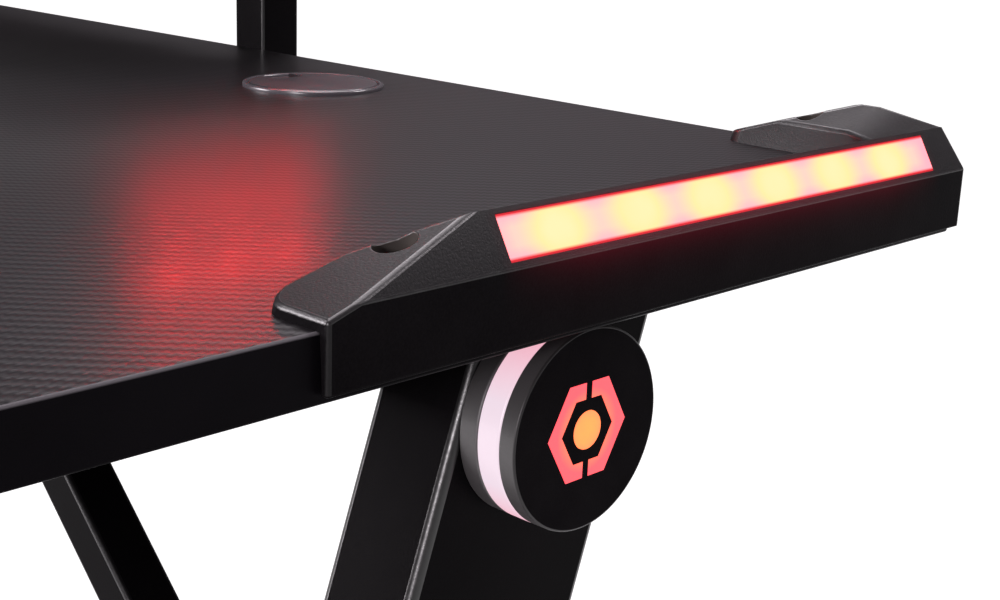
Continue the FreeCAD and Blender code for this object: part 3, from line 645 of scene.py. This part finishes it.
# Light strips: milky diffuser in each cover's window, with six light points on a circuit strip behind it.
# The points show as warm spots, and the window's rims glow a deeper red.
points_per_strip = 6
strip_low, strip_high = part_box("light_diffuser_right")
points_low, points_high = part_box("led_chips_right")
point_size = 5.0 * mm
spot_shift = -2.2 * mm
first_point = points_low.y + point_size / 2 + spot_shift
point_pitch = (points_high.y - points_low.y - point_size) / (points_per_strip - 1)
spot_spread = 12.5 * mm
spot_height = 9.5 * mm
spot_power = 1.5
spot_edge = 0.1
heart_edge = 0.75
peach_reach = (1.35, 1.9)
cloud_scale = 60.0
cloud_range = (0.9, 1.05)
strip_pink = (2.6, 0.48, 0.56)
strip_peach = (2.8, 0.67, 0.55)
spot_yellow = (3.2, 0.86, 0.37)
spot_heart = (3.2, 0.89, 0.45)
rim_red = (0.6, 0.001, 0.01)
rim_width = 0.45 * mm
rim_fade = 0.8 * mm
peach_rim = 4.0 * mm
# Painted red glow on the cover's moulding round each window, and how far it reaches:
painted_glow_red = (0.07, 0.001, 0.006)
glow_below = 4.0 * mm
glow_above = 0.8 * mm
glow_end = 35.0 * mm
glow_depth = 14.0 * mm
window_crease = 5.7 * mm
window_slope = Vector((-8.3, 14.6)).normalized()
window_low = 1.9 * mm
window_high = 15.0 * mm


def sum_of_squares(tree, first, second):
    """Output of the sum of two squares."""
    return math_node(tree, "ADD", math_node(tree, "POWER", first, 2.0), math_node(tree, "POWER", second, 2.0))


def lit_strip(name):
    """Emission with a warm spot over each light point, on either strip."""
    finish, tree, shader, place = blank_finish(name, Roughness=0.4, Base_Color=(0.2, 0.03, 0.035, 1),
                                               Specular_IOR_Level=0.1, Emission_Strength=1.0)
    from_first = math_node(tree, "SUBTRACT", coordinate(tree, place, "Y"), first_point)
    count = math_node(tree, "DIVIDE", from_first, point_pitch)
    nearest = math_node(tree, "ROUND", count)
    nearest = math_node(tree, "MINIMUM", math_node(tree, "MAXIMUM", nearest, 0.0), points_per_strip - 1.0)
    off_point = math_node(tree, "SUBTRACT", count, nearest)
    along = math_node(tree, "MULTIPLY", off_point, point_pitch / spot_spread)
    out = math_node(tree, "ABSOLUTE", coordinate(tree, place, "X"))
    out = math_node(tree, "SUBTRACT", out, cad_high.x)
    rise = math_node(tree, "SUBTRACT", coordinate(tree, place, "Z"), top_height + window_crease)
    up_face = math_node(tree, "ADD", math_node(tree, "MULTIPLY", out, window_slope.x),
                        math_node(tree, "MULTIPLY", rise, window_slope.y))
    middle = (window_low + window_high) / 2
    off_middle = math_node(tree, "SUBTRACT", up_face, middle)
    across = math_node(tree, "DIVIDE", off_middle, spot_height)
    fall = math_node(tree, "POWER", sum_of_squares(tree, along, across), spot_power)
    spot = math_node(tree, "EXPONENT", math_node(tree, "MULTIPLY", fall, -1.0))
    half = (window_high - window_low) / 2
    to_rim = math_node(tree, "SUBTRACT", half, math_node(tree, "ABSOLUTE", off_middle))
    inside = ranged(tree, to_rim, 0.0, 1.0, rim_width, rim_width + rim_fade)
    cloud = ranged(tree, noise(tree, place, cloud_scale), *cloud_range)
    spot = math_node(tree, "MULTIPLY", spot, cloud)
    between = ranged(tree, math_node(tree, "ABSOLUTE", along), 1.0, 0.0, *peach_reach)
    mild = math_node(tree, "MULTIPLY", between, ranged(tree, to_rim, 0.0, 1.0, rim_width, peach_rim))
    base = mixed_colour(tree, mild, (*strip_pink, 1), (*strip_peach, 1))
    heart = ranged(tree, spot, 0.0, 1.0, heart_edge, 1.0)
    warm = mixed_colour(tree, heart, (*spot_yellow, 1), (*spot_heart, 1))
    colour = mixed_colour(tree, ranged(tree, spot, 0.0, 1.0, spot_edge, heart_edge), base, warm)
    colour = mixed_colour(tree, inside, (*rim_red, 1), colour)
    tree.links.new(colour, shader.inputs["Emission Color"])
    return finish


def paint_red_glow(finish):
    """Paint a dark red glow on the moulding round each strip's window, a painted glow of the strip's light.
    """
    tree = finish.node_tree
    shader = tree.nodes["Principled BSDF"]
    place = node(tree, "ShaderNodeTexCoord").outputs["Object"]
    rise = math_node(tree, "SUBTRACT", coordinate(tree, place, "Z"), top_height + window_crease)
    below = math_node(tree, "SUBTRACT", window_low * window_slope.y, rise)
    above = math_node(tree, "SUBTRACT", rise, window_high * window_slope.y)
    below = math_node(tree, "DIVIDE", below, glow_below)
    above = math_node(tree, "DIVIDE", above, glow_above)
    far = math_node(tree, "MAXIMUM", math_node(tree, "MAXIMUM", below, above), 0.0)
    fade = math_node(tree, "EXPONENT", math_node(tree, "MULTIPLY", far, -1.0))
    for start, end in ((strip_low.y, strip_low.y + glow_end), (strip_high.y, strip_high.y - glow_end)):
        within = ranged(tree, coordinate(tree, place, "Y"), 0.0, 1.0, start, end)
        fade = math_node(tree, "MULTIPLY", fade, within)
    out = math_node(tree, "ABSOLUTE", coordinate(tree, place, "X"))
    outer = ranged(tree, out, 0.0, 1.0, cad_high.x - glow_depth, cad_high.x - glow_depth / 2)
    tree.links.new(math_node(tree, "MULTIPLY", fade, outer), shader.inputs["Emission Strength"])
    shader.inputs["Emission Color"].default_value = (*painted_glow_red, 1)


# The cover round each window gets a painted red glow.
paint_red_glow(cover_black)
lit_milky = lit_strip("lit_strip_milky")
board_white = grained_finish("board_white", (0.6, 0.6, 0.58), (0.8, 0.8, 0.78), patch=10 * mm, grain=0.5 * mm,
                             depth=0.01 * mm, rough=(0.4, 0.55))
point_glow = grained_finish("point_glow", (0.9, 0.8, 0.4), (1.0, 0.95, 0.6), patch=3 * mm, grain=0.4 * mm,
                            depth=0.01 * mm, rough=(0.2, 0.3), Emission_Color=(1, 0.9, 0.5, 1),
                            Emission_Strength=1.0)
for side in sides:
    dress("light_diffuser_" + side, lit_milky)
    dress("led_strip_" + side, board_white)
    dress("led_chips_" + side, point_glow)


# Leg lamps: black cup screwed to the leg, milky ring that lights all round, and a black front cap.
# The cap's face has a six-sided motif cut through it, filled by the lens behind.
lamp_low, lamp_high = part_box("lamp_ring_right")
lamp_radius = (lamp_high.z - lamp_low.z) / 2
lamp_bore = lamp_radius - 4.0 * mm
cup_floor = 2.5 * mm
lamp_black = grained_finish("lamp_black", (0.005, 0.0042, 0.005), (0.010, 0.0092, 0.010), patch=14 * mm,
                            grain=0.5 * mm, depth=0.02 * mm, rough=(0.46, 0.56))
lamp_edge = 0.8 * mm
lamp_front_edge = 0.7 * mm
lamp_face_gloss = 0.006
lamp_side_gloss = 0.9
lamp_rim_share = 0.35
# Paler grey on the lamps' sides and rims: a painted sheen.
lamp_side_painted_sheen = (0.034, 0.031, 0.032)
ring_white = (0.8, 0.665, 0.75)
ring_pink = (0.9, 0.42, 0.52)
ring_pink_start = 0.4
motif_coral = (1.6, 0.10, 0.13)
motif_amber = (1.9, 0.42, 0.06)
motif_heart = 4.0 * mm
motif_reach = 13.0 * mm


def matt_face_and_painted_sheen(finish):
    """Let the finish lose its gloss on the lamps' front faces, and paint the sides and rounded rims a paler
    grey, a painted sheen.
    """
    tree = finish.node_tree
    shader = tree.nodes["Principled BSDF"]
    place = node(tree, "ShaderNodeTexCoord").outputs["Object"]
    out = math_node(tree, "ABSOLUTE", coordinate(tree, place, "X"))
    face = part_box("lamp_front_right")[1].x
    away = ranged(tree, out, 1.0, 0.0, face - lamp_front_edge, face - lamp_front_edge / 10)
    rim = math_node(tree, "MULTIPLY", face_mark(tree, "rounding"), lamp_rim_share)
    share = math_node(tree, "MAXIMUM", away, rim)
    gloss = ranged(tree, share, lamp_face_gloss, lamp_side_gloss, 0.0, 1.0)
    tree.links.new(gloss, shader.inputs["Specular IOR Level"])
    plain = shader.inputs["Base Color"].links[0].from_socket
    colour = mixed_colour(tree, share, plain, (*lamp_side_painted_sheen, 1))
    tree.links.new(colour, shader.inputs["Base Color"])


matt_face_and_painted_sheen(lamp_black)


def lit_ring(name):
    """Pale ring light, a little pinker at its top and bottom."""
    finish, tree, shader, place = blank_finish(name, Roughness=0.35, Emission_Strength=1.0,
                                               Base_Color=(0.1, 0.08, 0.09, 1))
    rise = math_node(tree, "SUBTRACT", coordinate(tree, place, "Z"), box_middle("lamp_ring_right").z)
    rise = math_node(tree, "ABSOLUTE", rise)
    share = ranged(tree, rise, 0.0, 1.0, ring_pink_start * lamp_radius, lamp_radius)
    cloud = ranged(tree, noise(tree, place, 90.0), 0.9, 1.1)
    share = math_node(tree, "MULTIPLY", share, cloud)
    colour = mixed_colour(tree, share, (*ring_white, 1), (*ring_pink, 1))
    tree.links.new(colour, shader.inputs["Emission Color"])
    return finish


def lit_motif(name):
    """Coral light that turns to amber at the middle of the lamp."""
    finish, tree, shader, place = blank_finish(name, Roughness=0.3, Emission_Strength=1.0,
                                               Base_Color=(0.1, 0.01, 0.012, 1))
    middle = box_middle("lamp_lens_right")
    back = math_node(tree, "SUBTRACT", coordinate(tree, place, "Y"), middle.y)
    rise = math_node(tree, "SUBTRACT", coordinate(tree, place, "Z"), middle.z)
    reach = math_node(tree, "SQRT", sum_of_squares(tree, back, rise))
    share = ranged(tree, reach, 1.0, 0.0, motif_heart, motif_reach)
    cloud = ranged(tree, noise(tree, place, 250.0), 0.85, 1.0)
    share = math_node(tree, "MULTIPLY", share, cloud)
    colour = mixed_colour(tree, share, (*motif_coral, 1), (*motif_amber, 1))
    tree.links.new(colour, shader.inputs["Emission Color"])
    return finish


ring_light = lit_ring("ring_light")
motif_light = lit_motif("motif_light")


def outer_radius(radius):
    """Rule that rounds every outer edge by one radius."""
    def radius_of(edge, outside):
        outer = all(face in outside for face in edge.link_faces)
        return radius if outer and edge_turn(edge) > tube_edge_turn else 0.0

    return radius_of


for side, sign in sides.items():
    out = Vector((sign, 0, 0))
    for part, finish, slot in (("lamp_base_", lamp_black, "lamp_black"),
                               ("lamp_ring_", ring_light, "ring_milky")):
        low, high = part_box(part + side)
        start = box_middle(part + side)
        start.x = low.x if sign > 0 else high.x
        length = high.x - low.x
        profile = [(0, lamp_bore), (0, lamp_radius), (length, lamp_radius), (length, lamp_bore)]
        if part == "lamp_base_":
            profile = [(0, 0)] + profile[1:] + [(cup_floor, lamp_bore), (cup_floor, 0)]
        piece = turned("turned_" + part + side, start, out, profile, lamp_edge, steps=160)
        put_in_place(piece, finish, slot, part + side)
    front = "lamp_front_" + side
    piece = rounded_copy("moulded_" + front, front, outer_radius(lamp_front_edge), segments=5)
    put_in_place(piece, lamp_black, "lamp_black", front)
    dress("lamp_lens_" + side, motif_light)
    dress("lamp_board_" + side, board_white)


# Raised shelf: square steel posts bolted behind the back rail, arms welded to their heads.
# They carry a small board wrapped in film, with a red light bar of three points let into each end.
post_edge = 1.2 * mm
arm_edge = 2.2 * mm
shelf_edge = 1.2 * mm
shelf_film = grained_finish("shelf_film", (0.016, 0.014, 0.016), (0.03, 0.027, 0.03), patch=60 * mm,
                            grain=0.8 * mm, depth=0.05 * mm, rough=(0.36, 0.48), Specular_IOR_Level=0.32)
for side in sides:
    coated_tube("shelf_post_" + side, post_edge)
    coated_tube("shelf_arm_" + side, arm_edge)
shelf = rounded_copy("wrapped_shelf_board", "shelf_board", outer_radius(shelf_edge))
put_in_place(shelf, shelf_film, "shelf_film", "shelf_board")

bar_pitch = 37.0 * mm
bar_points = 3
bar_spread = 6.5 * mm
bar_falloff = 1.6
bar_end_fade = 24.0 * mm
bar_end_share = 0.05
bar_red = (28.0, 0.01, 0.03)
bar_spot = (46.0, 0.23, 0.11)


def lit_bar(name):
    """Red light with a brighter spot over each light point, along the shelf's ends."""
    finish, tree, shader, place = blank_finish(name, Roughness=0.4, Base_Color=(0.2, 0.02, 0.025, 1),
                                               Specular_IOR_Level=0.2, Emission_Strength=1.0)
    middle = box_middle("shelf_lights").y
    back = math_node(tree, "SUBTRACT", coordinate(tree, place, "Y"), middle)
    reach = (bar_points - 1) / 2
    nearest = math_node(tree, "ROUND", math_node(tree, "DIVIDE", back, bar_pitch))
    nearest = math_node(tree, "MINIMUM", math_node(tree, "MAXIMUM", nearest, -reach), reach)
    off_point = math_node(tree, "SUBTRACT", back, math_node(tree, "MULTIPLY", nearest, bar_pitch))
    share = math_node(tree, "POWER", math_node(tree, "DIVIDE", off_point, bar_spread), 2.0)
    spot = math_node(tree, "EXPONENT", math_node(tree, "MULTIPLY", share, -bar_falloff))
    cloud = ranged(tree, noise(tree, place, 80.0), *cloud_range)
    spot = math_node(tree, "MULTIPLY", spot, cloud)
    colour = mixed_colour(tree, spot, (*bar_red, 1), (*bar_spot, 1))
    tree.links.new(colour, shader.inputs["Emission Color"])
    low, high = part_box("shelf_lights")
    half = (high.y - low.y) / 2
    off_middle = math_node(tree, "ABSOLUTE", back)
    fade = ranged(tree, off_middle, 1.0, bar_end_share, half - bar_end_fade, half)
    tree.links.new(fade, shader.inputs["Emission Strength"])
    return finish


dress("shelf_lights", lit_bar("lit_bar_red"))


# Control box: moulded shell screwed under the top, in fine-grained black plastic.
# It holds a glossy red push button and a socket for the plug of a low-voltage supply.
box_corner = 1.5 * mm
button_edge = 0.9 * mm
socket_edge = 0.3 * mm
box_black = grained_finish("box_black", (0.012, 0.011, 0.012), (0.026, 0.025, 0.027), patch=20 * mm,
                           grain=0.45 * mm, depth=0.04 * mm, rough=(0.45, 0.6), Specular_IOR_Level=0.3)
button_red = grained_finish("button_red", (0.35, 0.012, 0.016), (0.5, 0.02, 0.026), patch=6 * mm,
                            grain=0.4 * mm, depth=0.004 * mm, rough=(0.16, 0.24), Specular_IOR_Level=0.5)
for part, radius, finish, slot in (("control_box", box_corner, box_black, "box_black"),
                                   ("control_button", button_edge, button_red, "button_red"),
                                   ("power_socket", socket_edge, box_black, "box_black")):
    put_in_place(rounded_copy("moulded_" + part, part, outer_radius(radius)), finish, slot, part)


# Screws, bolts and nuts: blackened steel, the screws with a cross recess and the bolts with a six-sided one.
# Each stands where the model has it, with its head on the open side.
head_sides = 28
head_taper = 0.82
shank_sides = 20
recess_depth = 1.2
cross_bar = 0.28
nut_edge = 0.6 * mm
hardware_dark = grained_finish("hardware_dark", (0.09, 0.09, 0.095), (0.18, 0.18, 0.185), patch=4 * mm,
                               grain=0.3 * mm, depth=0.01 * mm, rough=(0.3, 0.45), Metallic=1.0)


def screw_tree():
    """Screws on points: tapered head with a recess, and a plain shank below it."""
    tree = bpy.data.node_groups.new("screws", "GeometryNodeTree")
    face = tree.interface
    face.new_socket("Geometry", in_out="INPUT", socket_type="NodeSocketGeometry")
    for name in ("Head radius", "Head height", "Shank radius", "Shank length", "Recess width"):
        face.new_socket(name, in_out="INPUT", socket_type="NodeSocketFloat")
    face.new_socket("Six sided", in_out="INPUT", socket_type="NodeSocketBool")
    face.new_socket("Finish", in_out="INPUT", socket_type="NodeSocketMaterial")
    face.new_socket("Geometry", in_out="OUTPUT", socket_type="NodeSocketGeometry")
    given = node(tree, "NodeGroupInput").outputs

    def times(value, factor):
        return math_node(tree, "MULTIPLY", value, factor)

    def box_bar(long_side, short_side, depth):
        size = node(tree, "ShaderNodeCombineXYZ", {0: long_side, 1: short_side, 2: depth})
        return node(tree, "GeometryNodeMeshCube", {"Size": size.outputs[0]}).outputs["Mesh"]

    top_radius = times(given["Head radius"], head_taper)
    head = node(tree, "GeometryNodeMeshCone", {"Vertices": head_sides, "Radius Top": top_radius,
                                               "Radius Bottom": given["Head radius"],
                                               "Depth": given["Head height"]})
    deep = times(given["Head height"], recess_depth)
    width = given["Recess width"]
    narrow = times(width, cross_bar)
    bars = [box_bar(width, narrow, deep), box_bar(narrow, width, deep)]
    cross = node(tree, "GeometryNodeMeshBoolean", operation="UNION", solver="EXACT")
    for bar in bars:
        tree.links.new(bar, cross.inputs["Mesh 2"])
    hexagon = node(tree, "GeometryNodeMeshCylinder", {"Vertices": hexagon_sides, "Radius": times(width, 0.5),
                                                      "Depth": deep})
    recess = node(tree, "GeometryNodeSwitch", {0: given["Six sided"], 1: cross.outputs["Mesh"],
                                               2: hexagon.outputs["Mesh"]}, input_type="GEOMETRY")
    lift = node(tree, "ShaderNodeCombineXYZ", {2: given["Head height"]})
    raised = node(tree, "GeometryNodeTransform", {"Geometry": recess.outputs[0],
                                                  "Translation": lift.outputs[0]})
    cut = node(tree, "GeometryNodeMeshBoolean", {"Mesh 1": head.outputs["Mesh"]}, operation="DIFFERENCE",
               solver="EXACT")
    tree.links.new(raised.outputs[0], cut.inputs["Mesh 2"])
    shank = node(tree, "GeometryNodeMeshCylinder", {"Vertices": shank_sides, "Radius": given["Shank radius"],
                                                    "Depth": given["Shank length"]})
    drop = node(tree, "ShaderNodeCombineXYZ", {2: times(given["Shank length"], -0.5)})
    lowered = node(tree, "GeometryNodeTransform", {"Geometry": shank.outputs["Mesh"],
                                                   "Translation": drop.outputs[0]})
    screw = node(tree, "GeometryNodeJoinGeometry")
    for part in (cut.outputs["Mesh"], lowered.outputs[0]):
        tree.links.new(part, screw.inputs[0])
    points = node(tree, "GeometryNodeMeshToPoints", {"Mesh": given["Geometry"]})
    axis = node(tree, "GeometryNodeInputNamedAttribute", {"Name": "axis"}, data_type="FLOAT_VECTOR")
    aim = node(tree, "FunctionNodeAlignRotationToVector", {"Vector": axis.outputs["Attribute"]}, axis="Z")
    spread = node(tree, "GeometryNodeInstanceOnPoints", {"Points": points.outputs[0],
                                                         "Instance": screw.outputs[0],
                                                         "Rotation": aim.outputs[0]})
    real = node(tree, "GeometryNodeRealizeInstances", {"Geometry": spread.outputs[0]})
    coat = node(tree, "GeometryNodeSetMaterial", {"Geometry": real.outputs[0], "Material": given["Finish"]})
    node(tree, "NodeGroupOutput", {"Geometry": coat.outputs[0]})
    return tree


def islands(node_name):
    """Boxes of the separate solids in a node."""
    shape = bmesh.new()
    shape.from_mesh(nodes[node_name].data)
    bmesh.ops.remove_doubles(shape, verts=shape.verts, dist=merge_distance)
    left = set(shape.verts)
    boxes = []
    while left:
        group = [left.pop()]
        for vertex in group:
            for edge in vertex.link_edges:
                other = edge.other_vert(vertex)
                if other in left:
                    left.remove(other)
                    group.append(other)
        spots = [vertex.co for vertex in group]
        low = Vector([min(spot[k] for spot in spots) for k in range(3)])
        high = Vector([max(spot[k] for spot in spots) for k in range(3)])
        boxes.append((low, high))
    shape.free()
    return boxes


screws = screw_tree()
sockets = {item.name: item.identifier for item in screws.interface.items_tree if item.in_out == "INPUT"}


def place_screws(name, boxes, axis_of, head_radius, head_height, shank_radius, recess, six_sided):
    """One object of screws of one length whose heads look along the axis given for each box."""
    mesh = bpy.data.meshes.new(name)
    axes = [axis_of(low, high) for low, high in boxes]
    seats = []
    for (low, high), axis in zip(boxes, axes):
        middle = (low + high) / 2
        half = abs((high - low).dot(axis)) / 2
        seats.append(middle + axis * (half - head_height))
        length = 2 * half - head_height
    mesh.from_pydata(seats, [], [])
    attribute = mesh.attributes.new("axis", "FLOAT_VECTOR", "POINT")
    attribute.data.foreach_set("vector", [value for axis in axes for value in axis])
    piece = bpy.data.objects.new(name, mesh)
    bpy.context.scene.collection.objects.link(piece)
    modifier = piece.modifiers.new("screws", "NODES")
    modifier.node_group = screws
    values = {"Head radius": head_radius, "Head height": head_height, "Shank radius": shank_radius,
              "Shank length": length, "Recess width": recess, "Six sided": six_sided, "Finish": hardware_dark}
    for label, value in values.items():
        modifier[sockets[label]] = value
    return settled(piece)


def fixed_axis(x, y, z):
    """Rule for screws that all face one way."""
    return lambda low, high: Vector((x, y, z))


def inwards(low, high):
    """Rule for bolts that face the middle of the desk."""
    return Vector((-1 if low.x > 0 else 1, 0, 0))


def outwards(low, high):
    """Rule for screws that face away from the middle of the desk."""
    return -inwards(low, high)


def by_length(node_name, axis_index):
    """A node's solids, grouped by their length."""
    groups = {}
    for low, high in islands(node_name):
        groups.setdefault(round((high - low)[axis_index], 4), []).append((low, high))
    return [groups[length] for length in sorted(groups)]


wood_screw = dict(head_radius=4.0 * mm, head_height=2.4 * mm, shank_radius=2.0 * mm, recess=4.4 * mm,
                  six_sided=False)
frame_bolt = dict(head_radius=5.0 * mm, head_height=4.0 * mm, shank_radius=3.0 * mm, recess=5.0 * mm,
                  six_sided=True)
lamp_screw = dict(head_radius=3.0 * mm, head_height=0.8 * mm, shank_radius=1.5 * mm, recess=3.2 * mm,
                  six_sided=False)
fastenings = (("cover_screws", fixed_axis(0, 0, 1), 2, wood_screw),
              ("desk_screws", fixed_axis(0, 0, -1), 2, wood_screw),
              ("shelf_screws", fixed_axis(0, 0, -1), 2, wood_screw),
              ("leg_bolts", inwards, 0, frame_bolt),
              ("post_bolts", fixed_axis(0, -1, 0), 1, frame_bolt),
              ("lamp_screws", outwards, 0, lamp_screw))
for group, axis_of, axis_index, sizes in fastenings:
    made = [place_screws("steel_" + group, boxes, axis_of, **sizes) for boxes in by_length(group, axis_index)]
    for index, piece in enumerate(made):
        if index:
            piece.name = "steel_" + group + "_" + str(index)
        put_in_place(piece, hardware_dark, "hardware_dark", group)

nuts = rounded_copy("steel_foot_nuts", "foot_nuts", outer_radius(nut_edge))
put_in_place(nuts, hardware_dark, "hardware_dark", "foot_nuts")


# Stage: white floor that keeps the desk's shadow, a dim room that is darkest on the left, and soft lamps.
# Two low lamps are flagged off level pieces, which would mirror them as white patches.
# The camera stands where the photograph was taken.
floor_half = 40.0
floor_grey = (0.45, 0.45, 0.45, 1)
shadow_grey = (0.35, 0.35, 0.35, 1)
floor_glow = (0.76, 1.0)
glow_reach = (1.2, 3.5)
room_grey = (0.115, 0.1, 0.11, 1)
room_strength = (0.4, 1.38)
room_left_to_right = (-0.82, -0.38)
lamp_tint = (1.0, 0.93, 0.975)
desk_middle = Vector((0.0, 0.0, 0.7))

floor_shape = bmesh.new()
bmesh.ops.create_grid(floor_shape, x_segments=1, y_segments=1, size=floor_half)
floor = new_piece("studio_floor", floor_shape)
floor_white = bpy.data.materials.new("floor_white")
floor_white.use_nodes = True
tree = floor_white.node_tree
tree.nodes.clear()
path = node(tree, "ShaderNodeLightPath").outputs
seen = math_node(tree, "MAXIMUM", path["Is Camera Ray"], path["Is Glossy Ray"])
seen = math_node(tree, "MAXIMUM", seen, path["Is Transmission Ray"])
plain = node(tree, "ShaderNodeBsdfDiffuse", {"Color": floor_grey})
shadowed = node(tree, "ShaderNodeBsdfDiffuse", {"Color": shadow_grey})
place = node(tree, "ShaderNodeTexCoord").outputs["Object"]
reach = node(tree, "ShaderNodeVectorMath", {0: place}, operation="LENGTH").outputs["Value"]
brightness = ranged(tree, reach, *floor_glow, *glow_reach)
glow = node(tree, "ShaderNodeEmission", {"Color": (1, 1, 1, 1), "Strength": brightness})
white = node(tree, "ShaderNodeAddShader", {0: shadowed.outputs[0], 1: glow.outputs[0]})
mix = node(tree, "ShaderNodeMixShader", {0: seen, 1: plain.outputs[0], 2: white.outputs[0]})
node(tree, "ShaderNodeOutputMaterial", {0: mix.outputs[0]})
floor.data.materials.append(floor_white)
floor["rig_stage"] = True

scene = bpy.context.scene
world = bpy.data.worlds.new("studio")
world.use_nodes = True
sky = world.node_tree
background = sky.nodes["Background"].inputs
background["Color"].default_value = room_grey
towards = coordinate(sky, node(sky, "ShaderNodeTexCoord").outputs["Generated"], "X")
sky.links.new(ranged(sky, towards, *room_strength, *room_left_to_right), background["Strength"])
scene.world = world


def soft_lamp(name, place, size, power):
    """Square soft box that looks at the middle of the desk."""
    light = bpy.data.lights.new(name, "AREA")
    light.size = size
    light.energy = power
    light.color = lamp_tint
    lamp = bpy.data.objects.new(name, light)
    lamp.location = place
    lamp.rotation_euler = (desk_middle - Vector(place)).to_track_quat("-Z", "Y").to_euler()
    lamp.visible_camera = False
    scene.collection.objects.link(lamp)
    return lamp


def flag_off(lamp, pieces):
    """Keep a low lamp's light off level pieces, which would mirror it."""
    shaded = bpy.data.collections.new(lamp.name + "_flag")
    for piece in pieces:
        shaded.objects.link(piece)
    lamp.light_linking.receiver_collection = shaded
    for entry in shaded.collection_objects:
        entry.light_linking.link_state = "EXCLUDE"


soft_lamp("key_lamp", place=(0.2, 0.1, 3.0), size=1.8, power=42)
left_lamp = soft_lamp("left_lamp", place=(-1.8, -2.2, 1.3), size=1.4, power=100)
soft_lamp("front_lamp", place=(-1.8, -1.5, 3.0), size=0.8, power=20)
soft_lamp("back_lamp", place=(1.5, 2.2, 2.7), size=0.9, power=40)
soft_lamp("far_lamp", place=(-1.1, 1.5, 3.0), size=1.4, power=38)
edge_lamp = soft_lamp("edge_lamp", place=(1.6, -2.5, 1.3), size=0.4, power=50)
level_pieces = [nodes["desktop_board"], bpy.data.objects["wrapped_shelf_board"]]
level_pieces += [bpy.data.objects["moulded_grommet_cap_" + side] for side in sides]
for lamp in (left_lamp, edge_lamp):
    flag_off(lamp, level_pieces)

camera_place = (cad_high.x + 0.260976, -0.252583, 0.8542)
camera_turn = Euler((math.radians(74.4014), math.radians(-2.0961), math.radians(44.1499)))
camera_lens = 55.951
lens = bpy.data.cameras.new("photo_camera")
lens.lens = camera_lens
lens.sensor_width = 36.0
lens.clip_start = 0.01
camera = bpy.data.objects.new("photo_camera", lens)
camera.location = camera_place
camera.rotation_euler = camera_turn
scene.collection.objects.link(camera)
scene.camera = camera
scene.view_settings.view_transform = "Standard"

shown_low, shown_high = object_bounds()
sizes = {"cad": [list(cad_low), list(cad_high)], "visual": [list(shown_low), list(shown_high)]}
